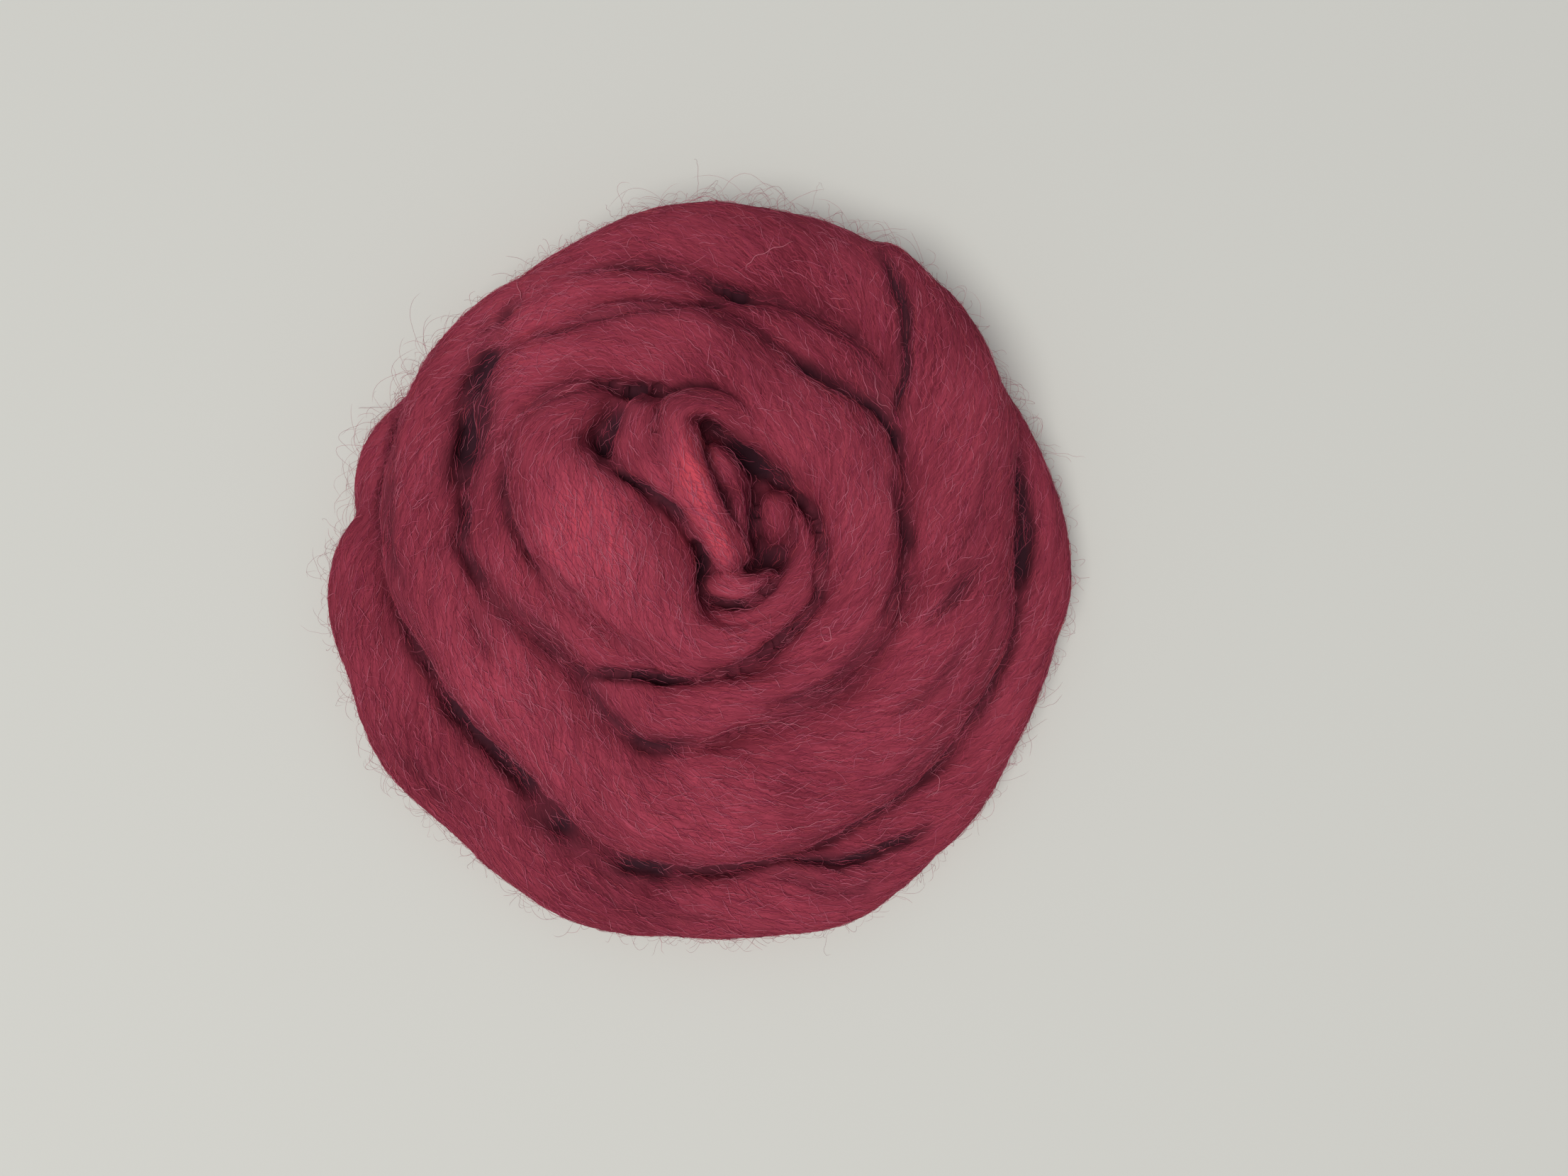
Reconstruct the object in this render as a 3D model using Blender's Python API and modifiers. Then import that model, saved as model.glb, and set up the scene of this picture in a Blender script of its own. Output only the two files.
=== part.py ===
"""A nest of wool roving: one long strand of combed wool, wound by hand into a loose coil.

The strand lies in turns, each one resting on the turn outside it, and ends in a few
folds heaped in the middle. Every turn and fold is a flattened, softly ridged section
carried along its own path. All of them are drawn together into one solid, which is cut
flat where the wool rests on the table.
"""

import math
from collections import namedtuple

import bmesh
import bpy
import numpy as np

# --- driving dimensions, in millimetres -------------------------------------------------

MM = 0.001
SECTION_POWER = 2.4     # 2 is an ellipse, higher is squarer
SECTION_POINTS = 40     # points round the strand
STEP_LENGTH = 2.5       # distance between sections along the strand
RIDGES = 5              # bundles of fibre that show as ridges round the strand
RIDGE_HEIGHT = 0.5      # how far a ridge stands above the grooves beside it
TWIST_LENGTH = 170.0    # the strand turns once about itself in this length
END_ROUNDING = 0.35     # an end is rounded over this share of the strand's width
MELD = 1.25             # where two turns press together closer than this, they join
SOFTENING = 0.5         # how far the joined surface is relaxed, from 0 to 1
SURFACE_DETAIL = 0.073  # share of the fine surface's faces that the solid keeps
FLOOR_BLOCK = 260.0     # side of the block that trims the underside flat

WOOL_COLOUR = (0.258, 0.021, 0.051, 1.0)
WOOL_ROUGHNESS = 0.9

# --- the turns ---------------------------------------------------------------------------
# A turn is a row for each place along it: the angle gone round the nest, counted
# anticlockwise from the right in degrees, then the radius of the strand's inner and
# outer edge, and the height of its underside and its top, in millimetres.

Turn = namedtuple("Turn", "angle inner outer low high")

TURNS = {
    # The turns under the rest, which start in the middle and fill the base.
    "lower_turns": [
        Turn(-90, -8, 32, -16, 30),
        Turn(0, -20, 20, -4, 32),
        Turn(90, -14, 28, -3, 32),
        Turn(180, 0, 36, -3, 30),
        Turn(270, 10, 46, -3, 28),
        Turn(360, 20, 56, -3, 24),
        Turn(450, 30, 66, -3, 24),
        Turn(540, 40, 74, -3, 22),
        Turn(630, 46, 80, -3, 17),
        Turn(740, 56, 88, -3, 15),
    ],
    # The loose outer end at the left, then round the bottom, as the lowest ring that shows.
    "outer_turn": [
        Turn(145, 82, 92, -2, 6),
        Turn(151, 80, 96, -2, 10),
        Turn(158, 79, 98.5, -2, 13),
        Turn(164, 78, 98, -2, 15),
        Turn(171, 77, 96, -2, 17),
        Turn(178, 77, 99.5, -2, 19),
        Turn(188, 75, 101.5, -2, 19),
        Turn(200, 71, 101, -2, 19),
        Turn(215, 67, 102, -2, 20),
        Turn(228, 66, 99.5, -2, 18),
        Turn(240, 70, 101.5, -2, 18),
        Turn(258, 73, 102.5, -2, 19),
        Turn(272, 74, 101, -2, 19),
        Turn(290, 77, 104.5, -2, 20),
        Turn(297, 80, 105.5, -2, 19),
        Turn(305, 87, 104.5, -2, 17),
        Turn(313, 94, 102.5, -2, 11),
    ],
    # It twists out from under itself at the lower right, runs up the right side, dips
    # under the next turn, and comes out as the top of the nest. From the left on it
    # climbs onto its own start and goes round once more as the broad second ring. That
    # rides over the first turn at the upper right and stops there in a folded edge.
    "climbing_turn": [
        Turn(276, 73, 85, -2, 13),
        Turn(288, 73, 92, -2, 16),
        Turn(306, 73, 101.5, -2, 19),
        Turn(316, 74, 102, -2, 20),
        Turn(336, 77, 98, -2, 20),
        Turn(347, 78, 99, -2, 20),
        Turn(356, 79, 101.5, -2, 20),
        Turn(366, 79, 100.5, -2, 20),
        Turn(388, 76, 97, -2, 21),
        Turn(401, 73, 95.5, -2, 24),
        Turn(413, 70, 96.5, -2, 32),
        Turn(424, 69, 98, -2, 34),
        Turn(448, 71, 98, -2, 34),
        Turn(458, 73, 96, -2, 33),
        Turn(467, 73, 92.5, -2, 31),
        Turn(480, 73, 91, -2, 31),
        Turn(495, 72, 91, -1, 32),
        Turn(505, 70, 90, 2, 33),
        Turn(513, 66, 88, 4, 34),
        Turn(525, 58, 86, 6, 35),
        Turn(540, 50, 82, 8, 36),
        Turn(555, 44, 76, 8, 36),
        Turn(570, 37, 73.5, 8, 36),
        Turn(585, 34, 70.5, 8, 36),
        Turn(600, 37, 73, 8, 36),
        Turn(615, 42, 76.5, 8, 36),
        Turn(630, 42, 78, 8, 36),
        Turn(660, 40, 79.5, 8, 36),
        Turn(690, 46, 82.5, 8, 36),
        Turn(705, 49, 84, 8, 37),
        Turn(720, 51, 84.5, 8, 37),
        Turn(733, 52, 85.5, 8, 38),
        Turn(741, 54, 89, 8, 38),
        Turn(749, 56, 93, 8, 38),
        Turn(757, 60, 95.5, 8, 38),
        Turn(771, 70, 99, 8, 36),
        Turn(778, 77, 100, 8, 34),
        Turn(785, 84, 100, 8, 29),
    ],
    # Two narrow parts of that turn that show between it and the third ring.
    "right_sliver": [
        Turn(740, 54, 69, 10, 34),
        Turn(750, 57, 71, 10, 36),
        Turn(770, 56, 74, 10, 37),
        Turn(782, 56, 73.5, 10, 37),
        Turn(793, 58, 73, 10, 36),
        Turn(809, 64, 70, 10, 30),
    ],
    "left_sliver": [
        Turn(800, 64, 72, 8, 27),
        Turn(808, 65, 76, 8, 31),
        Turn(816, 66, 79, 8, 34),
        Turn(827, 67, 82, 8, 35),
        Turn(840, 68, 84, 8, 35),
        Turn(852, 71, 84, 8, 34),
        Turn(862, 75, 84, 8, 31),
    ],
    # The third ring, which sits on the second and winds in to the middle.
    "upper_ring": [
        Turn(215, 22, 38, 12, 32),
        Turn(228, 23, 41.5, 12, 39),
        Turn(240, 26, 45, 12, 42),
        Turn(256, 27, 47.5, 12, 43),
        Turn(272, 27, 46, 12, 43),
        Turn(286, 27, 43.5, 12, 43),
        Turn(302, 27.5, 45.5, 12, 43),
        Turn(316, 28, 48.5, 12, 44),
        Turn(330, 29, 51, 12, 45),
        Turn(345, 31, 53.5, 12, 46),
        Turn(360, 32, 55, 12, 47),
        Turn(375, 33, 56.5, 12, 47),
        Turn(388, 32.5, 60, 12, 47),
        Turn(403, 31.5, 62.5, 12, 47),
        Turn(412, 31.5, 61, 12, 47),
        Turn(423, 33, 59.5, 12, 47),
        Turn(434, 36, 62, 12, 46),
        Turn(445, 39, 66, 12, 45),
        Turn(467, 45, 70.5, 12, 43),
        Turn(488, 48, 73, 12, 42),
        Turn(496, 50, 74, 12, 42),
        Turn(502, 50, 71, 12, 42),
        Turn(510, 48, 65.5, 12, 42),
        Turn(530, 39, 59, 12, 42),
        Turn(540, 34.5, 55, 12, 42),
        Turn(550, 31, 51.5, 12, 42),
        Turn(560, 29, 45, 12, 42),
        Turn(570, 25, 42, 12, 42),
        Turn(580, 22, 40, 12, 42),
        Turn(590, 17, 36.5, 12, 43),
        Turn(600, 13, 32, 12, 44),
        Turn(611, 11, 29.5, 12, 45),
        Turn(635, 10, 28.5, 12, 46),
        Turn(650, 12.5, 28.5, 12, 46),
        Turn(664, 15, 28.5, 12, 46),
        Turn(680, 18, 29.5, 12, 45),
        Turn(692, 20.5, 30.5, 12, 44),
        Turn(706, 23, 33, 12, 43),
        Turn(733, 25, 34.5, 12, 42),
        Turn(746, 25.5, 34, 12, 39),
        Turn(757, 26, 33, 12, 34),
    ],
}

# --- the folds in the middle --------------------------------------------------------------
# A fold is a row for each place along it: where it is, how wide it is there, and the
# height of its underside and its top, in millimetres.

Fold = namedtuple("Fold", "x y width low high")

FOLDS = {
    # The broad lobe at the left, which comes from under the third ring and fans out. Below
    # it draws in and winds round to the right as the innermost turn.
    "left_lobe": [
        Fold(-18.5, 44, 7.5, 26, 42),
        Fold(-26.5, 41, 13.5, 26, 49),
        Fold(-33, 34.5, 18.5, 26, 52.5),
        Fold(-34.5, 26.5, 23.5, 26, 54.5),
        Fold(-31, 18.5, 29.5, 26, 56),
        Fold(-25, 11, 34, 26, 56.5),
        Fold(-18.5, 3.5, 35, 26, 56),
        Fold(-12.5, -5, 31.5, 26, 54),
        Fold(-7.5, -12, 26, 26, 51),
        Fold(-1.5, -17, 21.5, 24, 48),
        Fold(5, -18.5, 18.5, 22, 46.5),
        Fold(11.5, -17.5, 16, 22, 46),
        Fold(17, -14, 13.5, 22, 45),
        Fold(22, -9.5, 12, 22, 44.5),
        Fold(26, -4, 11, 22, 43.5),
        Fold(28.5, 3, 10, 22, 42.5),
        Fold(29.5, 10, 8, 22, 40.5),
        Fold(27, 16.5, 5, 22, 35),
    ],
    # The fold beside it, which comes down from the third ring and runs in under the ridge.
    "fold_root": [
        Fold(-9.5, 45, 8, 24, 45),
        Fold(-10.5, 41.5, 10, 22, 50),
        Fold(-12, 37, 12, 22, 53),
        Fold(-12, 31, 15.5, 22, 54),
        Fold(-9, 25, 16, 22, 54.5),
        Fold(-4, 19.5, 14, 22, 53.5),
        Fold(0.5, 13, 9, 22, 50),
    ],
    # The bright ridge: it arches over from the third ring and runs down through the middle.
    "ridge": [
        Fold(16.5, 30, 6, 30, 43),
        Fold(14, 34.5, 7.5, 28, 47),
        Fold(9, 38.8, 7.5, 28, 49.5),
        Fold(3, 40.2, 7.5, 26, 52),
        Fold(-2.5, 38, 10, 22, 54.5),
        Fold(-3.5, 33, 12, 22, 56),
        Fold(-2, 26, 13, 22, 56.5),
        Fold(1.5, 18, 13.5, 22, 56.5),
        Fold(5.5, 11, 12.5, 20, 54),
        Fold(9, 5, 11.5, 18, 50.5),
        Fold(12, -1.5, 10, 16, 46),
    ],
    # The strand that lies lower beside the ridge, along the edge of the deep gap.
    "inner_strand": [
        Fold(3.5, 31.5, 5, 14, 41),
        Fold(6, 27.5, 8.5, 14, 47),
        Fold(9.5, 21.5, 10.5, 14, 48.5),
        Fold(11.5, 14.5, 9, 14, 47.5),
        Fold(13, 8, 7, 14, 44),
        Fold(14, 3.5, 5, 14, 37),
    ],
    # The small round fold between the two gaps.
    "knob": [
        Fold(19.5, 20, 7, 14, 36),
        Fold(20.5, 17, 9.5, 14, 40.5),
        Fold(21.3, 13, 10.5, 14, 42),
        Fold(21, 8.5, 9, 14, 40),
        Fold(20.5, 4.5, 6, 14, 34),
    ],
    # The inner end of the strand, curled up as a small crescent.
    "inner_end": [
        Fold(2.5, -1, 4, 26, 38),
        Fold(5, -3.5, 6.5, 26, 43),
        Fold(10, -5, 7.5, 26, 45),
        Fold(14.5, -4.5, 7.5, 26, 45),
        Fold(18.5, -2.5, 6, 26, 42),
        Fold(21, 0, 4, 24, 38),
    ],
    # The wool that shows deep in the gaps of the middle and in the gap at the left.
    "middle_bed": [
        Fold(4, 38, 10, 12, 38),
        Fold(8, 33, 12, 12, 39),
        Fold(14, 27, 13, 12, 36.5),
        Fold(18, 20, 12, 12, 35),
        Fold(18, 10, 12, 12, 34.5),
        Fold(17, 2, 13, 12, 34.5),
        Fold(10, -5, 13, 12, 39),
        Fold(4, -6, 12, 12, 41),
        Fold(1, 0, 11, 12, 42),
        Fold(3, 6, 10, 12, 43),
        Fold(5, 11, 8, 12, 40),
    ],
    "lobe_bed": [
        Fold(-17, 46, 8, 12, 40),
        Fold(-18, 40, 10, 12, 43),
        Fold(-20, 33, 11, 12, 44.5),
        Fold(-18, 27, 10, 12, 45),
        Fold(-13, 22, 9, 12, 44),
    ],
    "left_bed": [
        Fold(-46, 66, 8, 8, 28),
        Fold(-52, 58, 10, 8, 30),
        Fold(-56.5, 49, 11, 8, 31),
        Fold(-59, 40, 11, 8, 31),
        Fold(-61, 31, 10, 8, 30),
        Fold(-62, 24, 8, 8, 28),
    ],
}


def curve_through(rows, steps=8):
    """Fill a table in between its rows, on a smooth curve that passes through each row."""
    table = np.array(rows, dtype=float)
    padded = np.vstack([table[0], table, table[-1]])
    filled = []
    for before, here, there, beyond in zip(padded, padded[1:], padded[2:], padded[3:]):
        for k in range(steps):
            u = k / steps
            slope = (there - before) * u
            bend = (2 * before - 5 * here + 4 * there - beyond) * u**2
            swing = (3 * here - before - 3 * there + beyond) * u**3
            filled.append(here + 0.5 * (slope + bend + swing))
    filled.append(table[-1])
    return np.array(filled)


def turn_places(rows):
    """Places along a turn: x, y and z of the section's centre, its half width and half height."""
    angle, inner, outer, low, high = curve_through(rows).T
    angle = np.radians(angle)
    radius = (inner + outer) / 2
    x = radius * np.cos(angle)
    y = radius * np.sin(angle)
    return np.column_stack([x, y, (low + high) / 2, (outer - inner) / 2, (high - low) / 2])


def fold_places(rows):
    """The same for a fold."""
    x, y, width, low, high = curve_through(rows).T
    return np.column_stack([x, y, (low + high) / 2, width / 2, (high - low) / 2])


def even_places(places):
    """Space the places evenly, and give each one's distance along the strand too."""
    gaps = np.linalg.norm(np.diff(places[:, :3], axis=0), axis=1)
    along = np.concatenate([[0.0], np.cumsum(gaps)])
    count = max(4, round(along[-1] / STEP_LENGTH))
    even = np.linspace(0.0, along[-1], count + 1)
    spaced = [np.interp(even, along, column) for column in places.T]
    return np.column_stack(spaced), even


def end_scale(along, half_width):
    """How much of its full size a section has, so that the strand's ends are rounded."""
    from_end = np.minimum(along, along[-1] - along)
    reach = 2 * END_ROUNDING * max(half_width.mean(), 1.0)
    share = np.clip(from_end / reach, 0.0, 1.0)
    return np.sqrt(1.0 - (1.0 - share) ** 2)


def section_rings(places, along):
    """The points round each section: a soft oblong with ridges that twist along the strand."""
    around = np.linspace(0.0, 2 * math.pi, SECTION_POINTS, endpoint=False)
    cos, sin = np.cos(around), np.sin(around)
    across = np.sign(cos) * np.abs(cos) ** (2 / SECTION_POWER)
    upward = np.sign(sin) * np.abs(sin) ** (2 / SECTION_POWER)
    heading = np.gradient(places[:, :2], axis=0)
    heading /= np.linalg.norm(heading, axis=1)[:, None]
    outward = np.column_stack([heading[:, 1], -heading[:, 0]])
    scale = end_scale(along, places[:, 3])
    rings = []
    for (x, y, z, half_width, half_height), side, size, far in zip(places, outward, scale, along):
        twist = 2 * math.pi * far / TWIST_LENGTH
        ridge = RIDGE_HEIGHT * np.cos(RIDGES * (around + twist))
        out = size * (half_width * across + ridge * cos)
        up = size * (half_height * upward + ridge * sin)
        rings.append(np.column_stack([x + side[0] * out, y + side[1] * out, z + up]))
    return rings[1:-1], places[0, :3], places[-1, :3]


def loft(mesh, places):
    """Skin one length of strand over its sections, and close it to a point at both ends."""
    places, along = even_places(places)
    rings, start, end = section_rings(places, along)
    loops = [[mesh.verts.new(point * MM) for point in ring] for ring in rings]
    for near, far in zip(loops, loops[1:]):
        for k in range(SECTION_POINTS):
            j = (k + 1) % SECTION_POINTS
            mesh.faces.new((near[k], near[j], far[j], far[k]))
    for tip, loop in ((start, loops[0]), (end, loops[-1][::-1])):
        point = mesh.verts.new(tip * MM)
        for k in range(SECTION_POINTS):
            mesh.faces.new((point, loop[(k + 1) % SECTION_POINTS], loop[k]))


def strand_mesh():
    """All the turns and folds as closed lengths of strand, pressed into one another."""
    mesh = bmesh.new()
    for rows in TURNS.values():
        loft(mesh, turn_places(rows))
    for rows in FOLDS.values():
        loft(mesh, fold_places(rows))
    bmesh.ops.recalc_face_normals(mesh, faces=mesh.faces)
    data = bpy.data.meshes.new("roving")
    mesh.to_mesh(data)
    mesh.free()
    return data


def floor_block(collection):
    """The block under the table's top, which trims the wool's underside flat."""
    bpy.ops.mesh.primitive_cube_add(size=1.0, location=(0.0, 0.0, -FLOOR_BLOCK * MM / 2))
    block = bpy.context.active_object
    block.name = "table_trim"
    block.scale = (FLOOR_BLOCK * MM,) * 3
    block.hide_render = True
    block.display_type = "WIRE"
    for owner in list(block.users_collection):
        owner.objects.unlink(block)
    collection.objects.link(block)
    return block


def wool():
    """Combed and dyed merino wool: crimson, dull and soft."""
    material = bpy.data.materials.new("combed merino wool, crimson")
    material.use_nodes = True
    surface = material.node_tree.nodes["Principled BSDF"]
    surface.inputs["Base Color"].default_value = WOOL_COLOUR
    surface.inputs["Roughness"].default_value = WOOL_ROUGHNESS
    surface.inputs["Metallic"].default_value = 0.0
    return material


def centre_on_origin(roving):
    """Put the middle of the finished solid's outline over the origin."""
    bpy.context.view_layer.update()
    evaluated = roving.evaluated_get(bpy.context.evaluated_depsgraph_get())
    corners = np.array([corner[:] for corner in evaluated.bound_box])
    middle = (corners.min(axis=0) + corners.max(axis=0)) / 2
    for vertex in roving.data.vertices:
        vertex.co.x -= middle[0]
        vertex.co.y -= middle[1]


def build():
    """Wind the strand, draw it together into one solid, and trim it flat underneath."""
    for leftover in list(bpy.data.objects):
        bpy.data.objects.remove(leftover, do_unlink=True)
    wound = bpy.data.collections.new("wool roving")
    helpers = bpy.data.collections.new("helpers")
    bpy.context.scene.collection.children.link(wound)
    bpy.context.scene.collection.children.link(helpers)

    roving = bpy.data.objects.new("roving", strand_mesh())
    wound.objects.link(roving)
    roving.data.materials.append(wool())

    meld = roving.modifiers.new("meld the turns", "REMESH")
    meld.mode = "VOXEL"
    meld.voxel_size = MELD * MM
    soften = roving.modifiers.new("soften", "SMOOTH")
    soften.factor = SOFTENING
    soften.iterations = 3
    thin = roving.modifiers.new("fewer faces", "DECIMATE")
    thin.ratio = SURFACE_DETAIL
    trim = roving.modifiers.new("rest on the table", "BOOLEAN")
    trim.operation = "DIFFERENCE"
    trim.solver = "EXACT"
    trim.object = floor_block(helpers)
    centre_on_origin(roving)


build()
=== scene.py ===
"""A nest of wool roving: its fine turns, its combed fibres and its fuzz, over the plain solid.

Laid out as an add-on: each operator makes one piece or one group of like pieces, and the
panel in the 3D view's sidebar lists them. Lengths in the tables, in the shape of the strand
and in names that end in _mm are millimetres. All the others are metres.
"""

import math
from collections import namedtuple

import bpy
import numpy as np
from bpy.props import FloatProperty, FloatVectorProperty, IntProperty, PointerProperty
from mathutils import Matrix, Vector
from mathutils.bvhtree import BVHTree


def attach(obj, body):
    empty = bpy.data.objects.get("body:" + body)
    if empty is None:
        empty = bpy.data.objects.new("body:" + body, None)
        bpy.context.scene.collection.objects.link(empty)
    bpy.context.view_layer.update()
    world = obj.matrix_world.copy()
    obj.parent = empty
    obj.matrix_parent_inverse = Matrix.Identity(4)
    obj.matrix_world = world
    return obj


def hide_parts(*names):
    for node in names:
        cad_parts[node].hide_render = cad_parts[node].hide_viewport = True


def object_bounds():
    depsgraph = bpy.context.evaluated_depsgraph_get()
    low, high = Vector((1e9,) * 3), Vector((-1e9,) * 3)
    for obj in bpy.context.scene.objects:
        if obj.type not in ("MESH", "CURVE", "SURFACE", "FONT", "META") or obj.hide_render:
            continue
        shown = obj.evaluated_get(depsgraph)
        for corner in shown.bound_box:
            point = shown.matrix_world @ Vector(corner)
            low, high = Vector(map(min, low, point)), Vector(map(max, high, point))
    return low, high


bl_info = {
    "name": "Wool roving nest",
    "version": (1, 0, 0),
    "blender": (4, 5, 0),
    "location": "3D View > Sidebar > Wool roving",
    "description": "Winds a nest of combed wool, lays its fibres and lights it on a pale table",
    "category": "Object",
}

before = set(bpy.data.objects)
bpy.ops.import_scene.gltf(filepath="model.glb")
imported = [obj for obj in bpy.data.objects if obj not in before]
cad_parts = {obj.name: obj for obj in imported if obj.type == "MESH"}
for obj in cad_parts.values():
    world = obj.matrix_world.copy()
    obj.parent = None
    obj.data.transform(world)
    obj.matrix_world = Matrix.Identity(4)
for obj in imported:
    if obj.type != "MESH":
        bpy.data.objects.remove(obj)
CAD_LOW, CAD_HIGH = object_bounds()

MM = 0.001
SECTION_POWER = 2.4     # 2 is an ellipse, higher is squarer
SECTION_POINTS = 48     # points round the strand
STEP_LENGTH = 2.0       # mm between sections along the strand
END_ROUNDING = 0.35     # an end is rounded over this share of the strand's width
RIDGES = 5              # bundles of fibre that show as ridges round the strand
RIDGE_HEIGHT = 0.5      # mm
TWIST_LENGTH = 170.0    # mm in which the strand turns once about itself
AROUND = 13.0           # mm round the strand to a radian, as if it were 26 mm thick
LENGTHS_APART = 370.0   # mm between one length of strand and the next in the map of fibres
CAMERA = (23.2, -5.4, 380.0)        # mm, where the photograph was taken from
FOCAL_PIXELS, FRAME_PIXELS = 1900.0, 2212.0     # its lens and its width
SENSOR_MM = 36.0
DRAWN_AT = 30.0         # mm over the table: the plane that creases and patches are drawn on
CREASE_WANDER = 0.8     # mm that a crease strays from the line that is drawn
CREASE_FADE = 6.0       # mm in which it grows shallow at its ends
CREASE_SHADE_SPREAD = 1.4       # how much wider than a crease the painted shade in it shows
DEEPEST_PAINTED_SHADE, BRIGHTEST_PAINTED_LIGHT = -1.2, 3.4       # the least and the most that patches of painted shade and painted light add up to
CENTRED = Vector((0.0, 2.7, 0.0))   # how far the finished nest moves to stand over the origin
FIBRE_RINGS = 6         # places along a fibre that lies on the wool
LOOSE_RINGS = 12        # places along a loose one
STRAY_RINGS = 30        # places along one of the long bright ones
PROUD = 0.0135          # how far a loose fibre may stand past the solid's sides

# --- the turns ---
# A turn has a row for each place along it: the angle gone round the nest, counted
# anticlockwise from the right in degrees, then the radius of the strand's inner and
# outer edge, and the height of its underside and its top, in millimetres.

TURNS = {
    # The turns under the rest, which start in the middle and fill the base.
    "lower_turns": (
        (-90, -8, 32, -16, 30), (0, -20, 20, -4, 32), (90, -14, 28, -3, 32), (180, 0, 36, -3, 30),
        (270, 10, 46, -3, 28), (360, 20, 56, -3, 24), (450, 30, 66, -3, 24), (540, 40, 74, -3, 22),
        (630, 46, 80, -3, 17), (740, 56, 88, -3, 15),
    ),
    # The loose outer end at the left, then round the bottom, as the lowest ring that shows.
    "outer_turn": (
        (145, 82, 92, -2, 6), (151, 80, 96, -2, 10), (158, 79, 98.5, -2, 13),
        (164, 78, 98, -2, 15), (171, 77, 96, -2, 17), (178, 77, 99.5, -2, 19),
        (188, 75, 101.5, -2, 19), (200, 71, 101, -2, 19), (215, 67, 102, -2, 20),
        (228, 66, 99.5, -2, 18), (240, 70, 101.5, -2, 18), (258, 73, 102.5, -2, 19),
        (272, 74, 101, -2, 19), (290, 77, 104.5, -2, 20), (297, 80, 105.5, -2, 19),
        (305, 87, 104.5, -2, 17), (313, 94, 102.5, -2, 11),
    ),
    # It twists out from under itself at the lower right, runs up the right side, dips
    # under the next turn, and comes out as the top of the nest. From the left on it
    # climbs onto its own start and goes round once more as the broad second ring. That
    # rides over the first turn at the upper right and stops there in a folded edge.
    "climbing_turn": (
        (276, 73, 85, -2, 13), (288, 73, 92, -2, 16), (306, 73, 101.5, -2, 19),
        (316, 74, 102, -2, 20), (336, 77, 98, -2, 20), (347, 78, 99, -2, 20),
        (356, 79, 101.5, -2, 20), (366, 79, 100.5, -2, 20), (388, 76, 97, -2, 21),
        (401, 73, 95.5, -2, 24), (413, 70, 96.5, -2, 32), (424, 69, 98, -2, 34),
        (448, 71, 98, -2, 34), (458, 73, 96, -2, 33), (467, 73, 92.5, -2, 31),
        (480, 73, 91, -2, 31), (495, 72, 91, -1, 32), (505, 70, 90, 2, 33), (513, 66, 88, 4, 34),
        (525, 58, 86, 6, 35), (540, 50, 82, 8, 36), (555, 44, 76, 8, 36), (570, 37, 73.5, 8, 36),
        (585, 34, 70.5, 8, 36), (600, 37, 73, 8, 36), (615, 42, 76.5, 8, 36), (630, 42, 78, 8, 36),
        (660, 40, 79.5, 8, 36), (690, 46, 82.5, 8, 36), (705, 49, 84, 8, 37),
        (720, 51, 84.5, 8, 37), (733, 52, 85.5, 8, 38), (741, 54, 89, 8, 38), (749, 56, 93, 8, 38),
        (757, 60, 95.5, 8, 38), (771, 70, 99, 8, 36), (778, 77, 100, 8, 34), (785, 84, 100, 8, 29),
    ),
    # Two narrow parts of that turn that show between it and the third ring.
    "right_sliver": (
        (740, 54, 69, 10, 34), (750, 57, 71, 10, 36), (770, 56, 74, 10, 37),
        (782, 56, 73.5, 10, 37), (793, 58, 73, 10, 36), (809, 64, 70, 10, 30),
    ),
    "left_sliver": (
        (800, 64, 72, 8, 27), (808, 65, 76, 8, 31), (816, 66, 79, 8, 34), (827, 67, 82, 8, 35),
        (840, 68, 84, 8, 35), (852, 71, 84, 8, 34), (862, 75, 84, 8, 31),
    ),
    # The third ring, which sits on the second and winds in to the middle.
    "upper_ring": (
        (215, 22, 38, 12, 32), (228, 23, 41.5, 12, 39), (240, 26, 45, 12, 42),
        (256, 27, 47.5, 12, 43), (272, 27, 46, 12, 43), (286, 27, 43.5, 12, 43),
        (302, 27.5, 45.5, 12, 43), (316, 28, 48.5, 12, 44), (330, 29, 51, 12, 45),
        (345, 31, 53.5, 12, 46), (360, 32, 55, 12, 47), (375, 33, 56.5, 12, 47),
        (388, 32.5, 60, 12, 47), (403, 31.5, 62.5, 12, 47), (412, 31.5, 61, 12, 47),
        (423, 33, 59.5, 12, 47), (434, 36, 62, 12, 46), (445, 39, 66, 12, 45),
        (467, 45, 70.5, 12, 43), (488, 48, 73, 12, 42), (496, 50, 74, 12, 42),
        (502, 50, 71, 12, 42), (510, 48, 65.5, 12, 42), (530, 39, 59, 12, 42),
        (540, 34.5, 55, 12, 42), (550, 31, 51.5, 12, 42), (560, 29, 45, 12, 42),
        (570, 25, 42, 12, 42), (580, 22, 40, 12, 42), (590, 17, 36.5, 12, 43),
        (600, 13, 32, 12, 44), (611, 11, 29.5, 12, 45), (635, 10, 28.5, 12, 46),
        (650, 12.5, 28.5, 12, 46), (664, 15, 28.5, 12, 46), (680, 18, 29.5, 12, 45),
        (692, 20.5, 30.5, 12, 44), (706, 23, 33, 12, 43), (733, 25, 34.5, 12, 42),
        (746, 25.5, 34, 12, 39), (757, 26, 33, 12, 34),
    ),
}

# --- the folds in the middle ---
# A fold has a row for each place along it: x and y there, how wide it is, and the height of
# its underside and its top, in millimetres.

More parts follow.
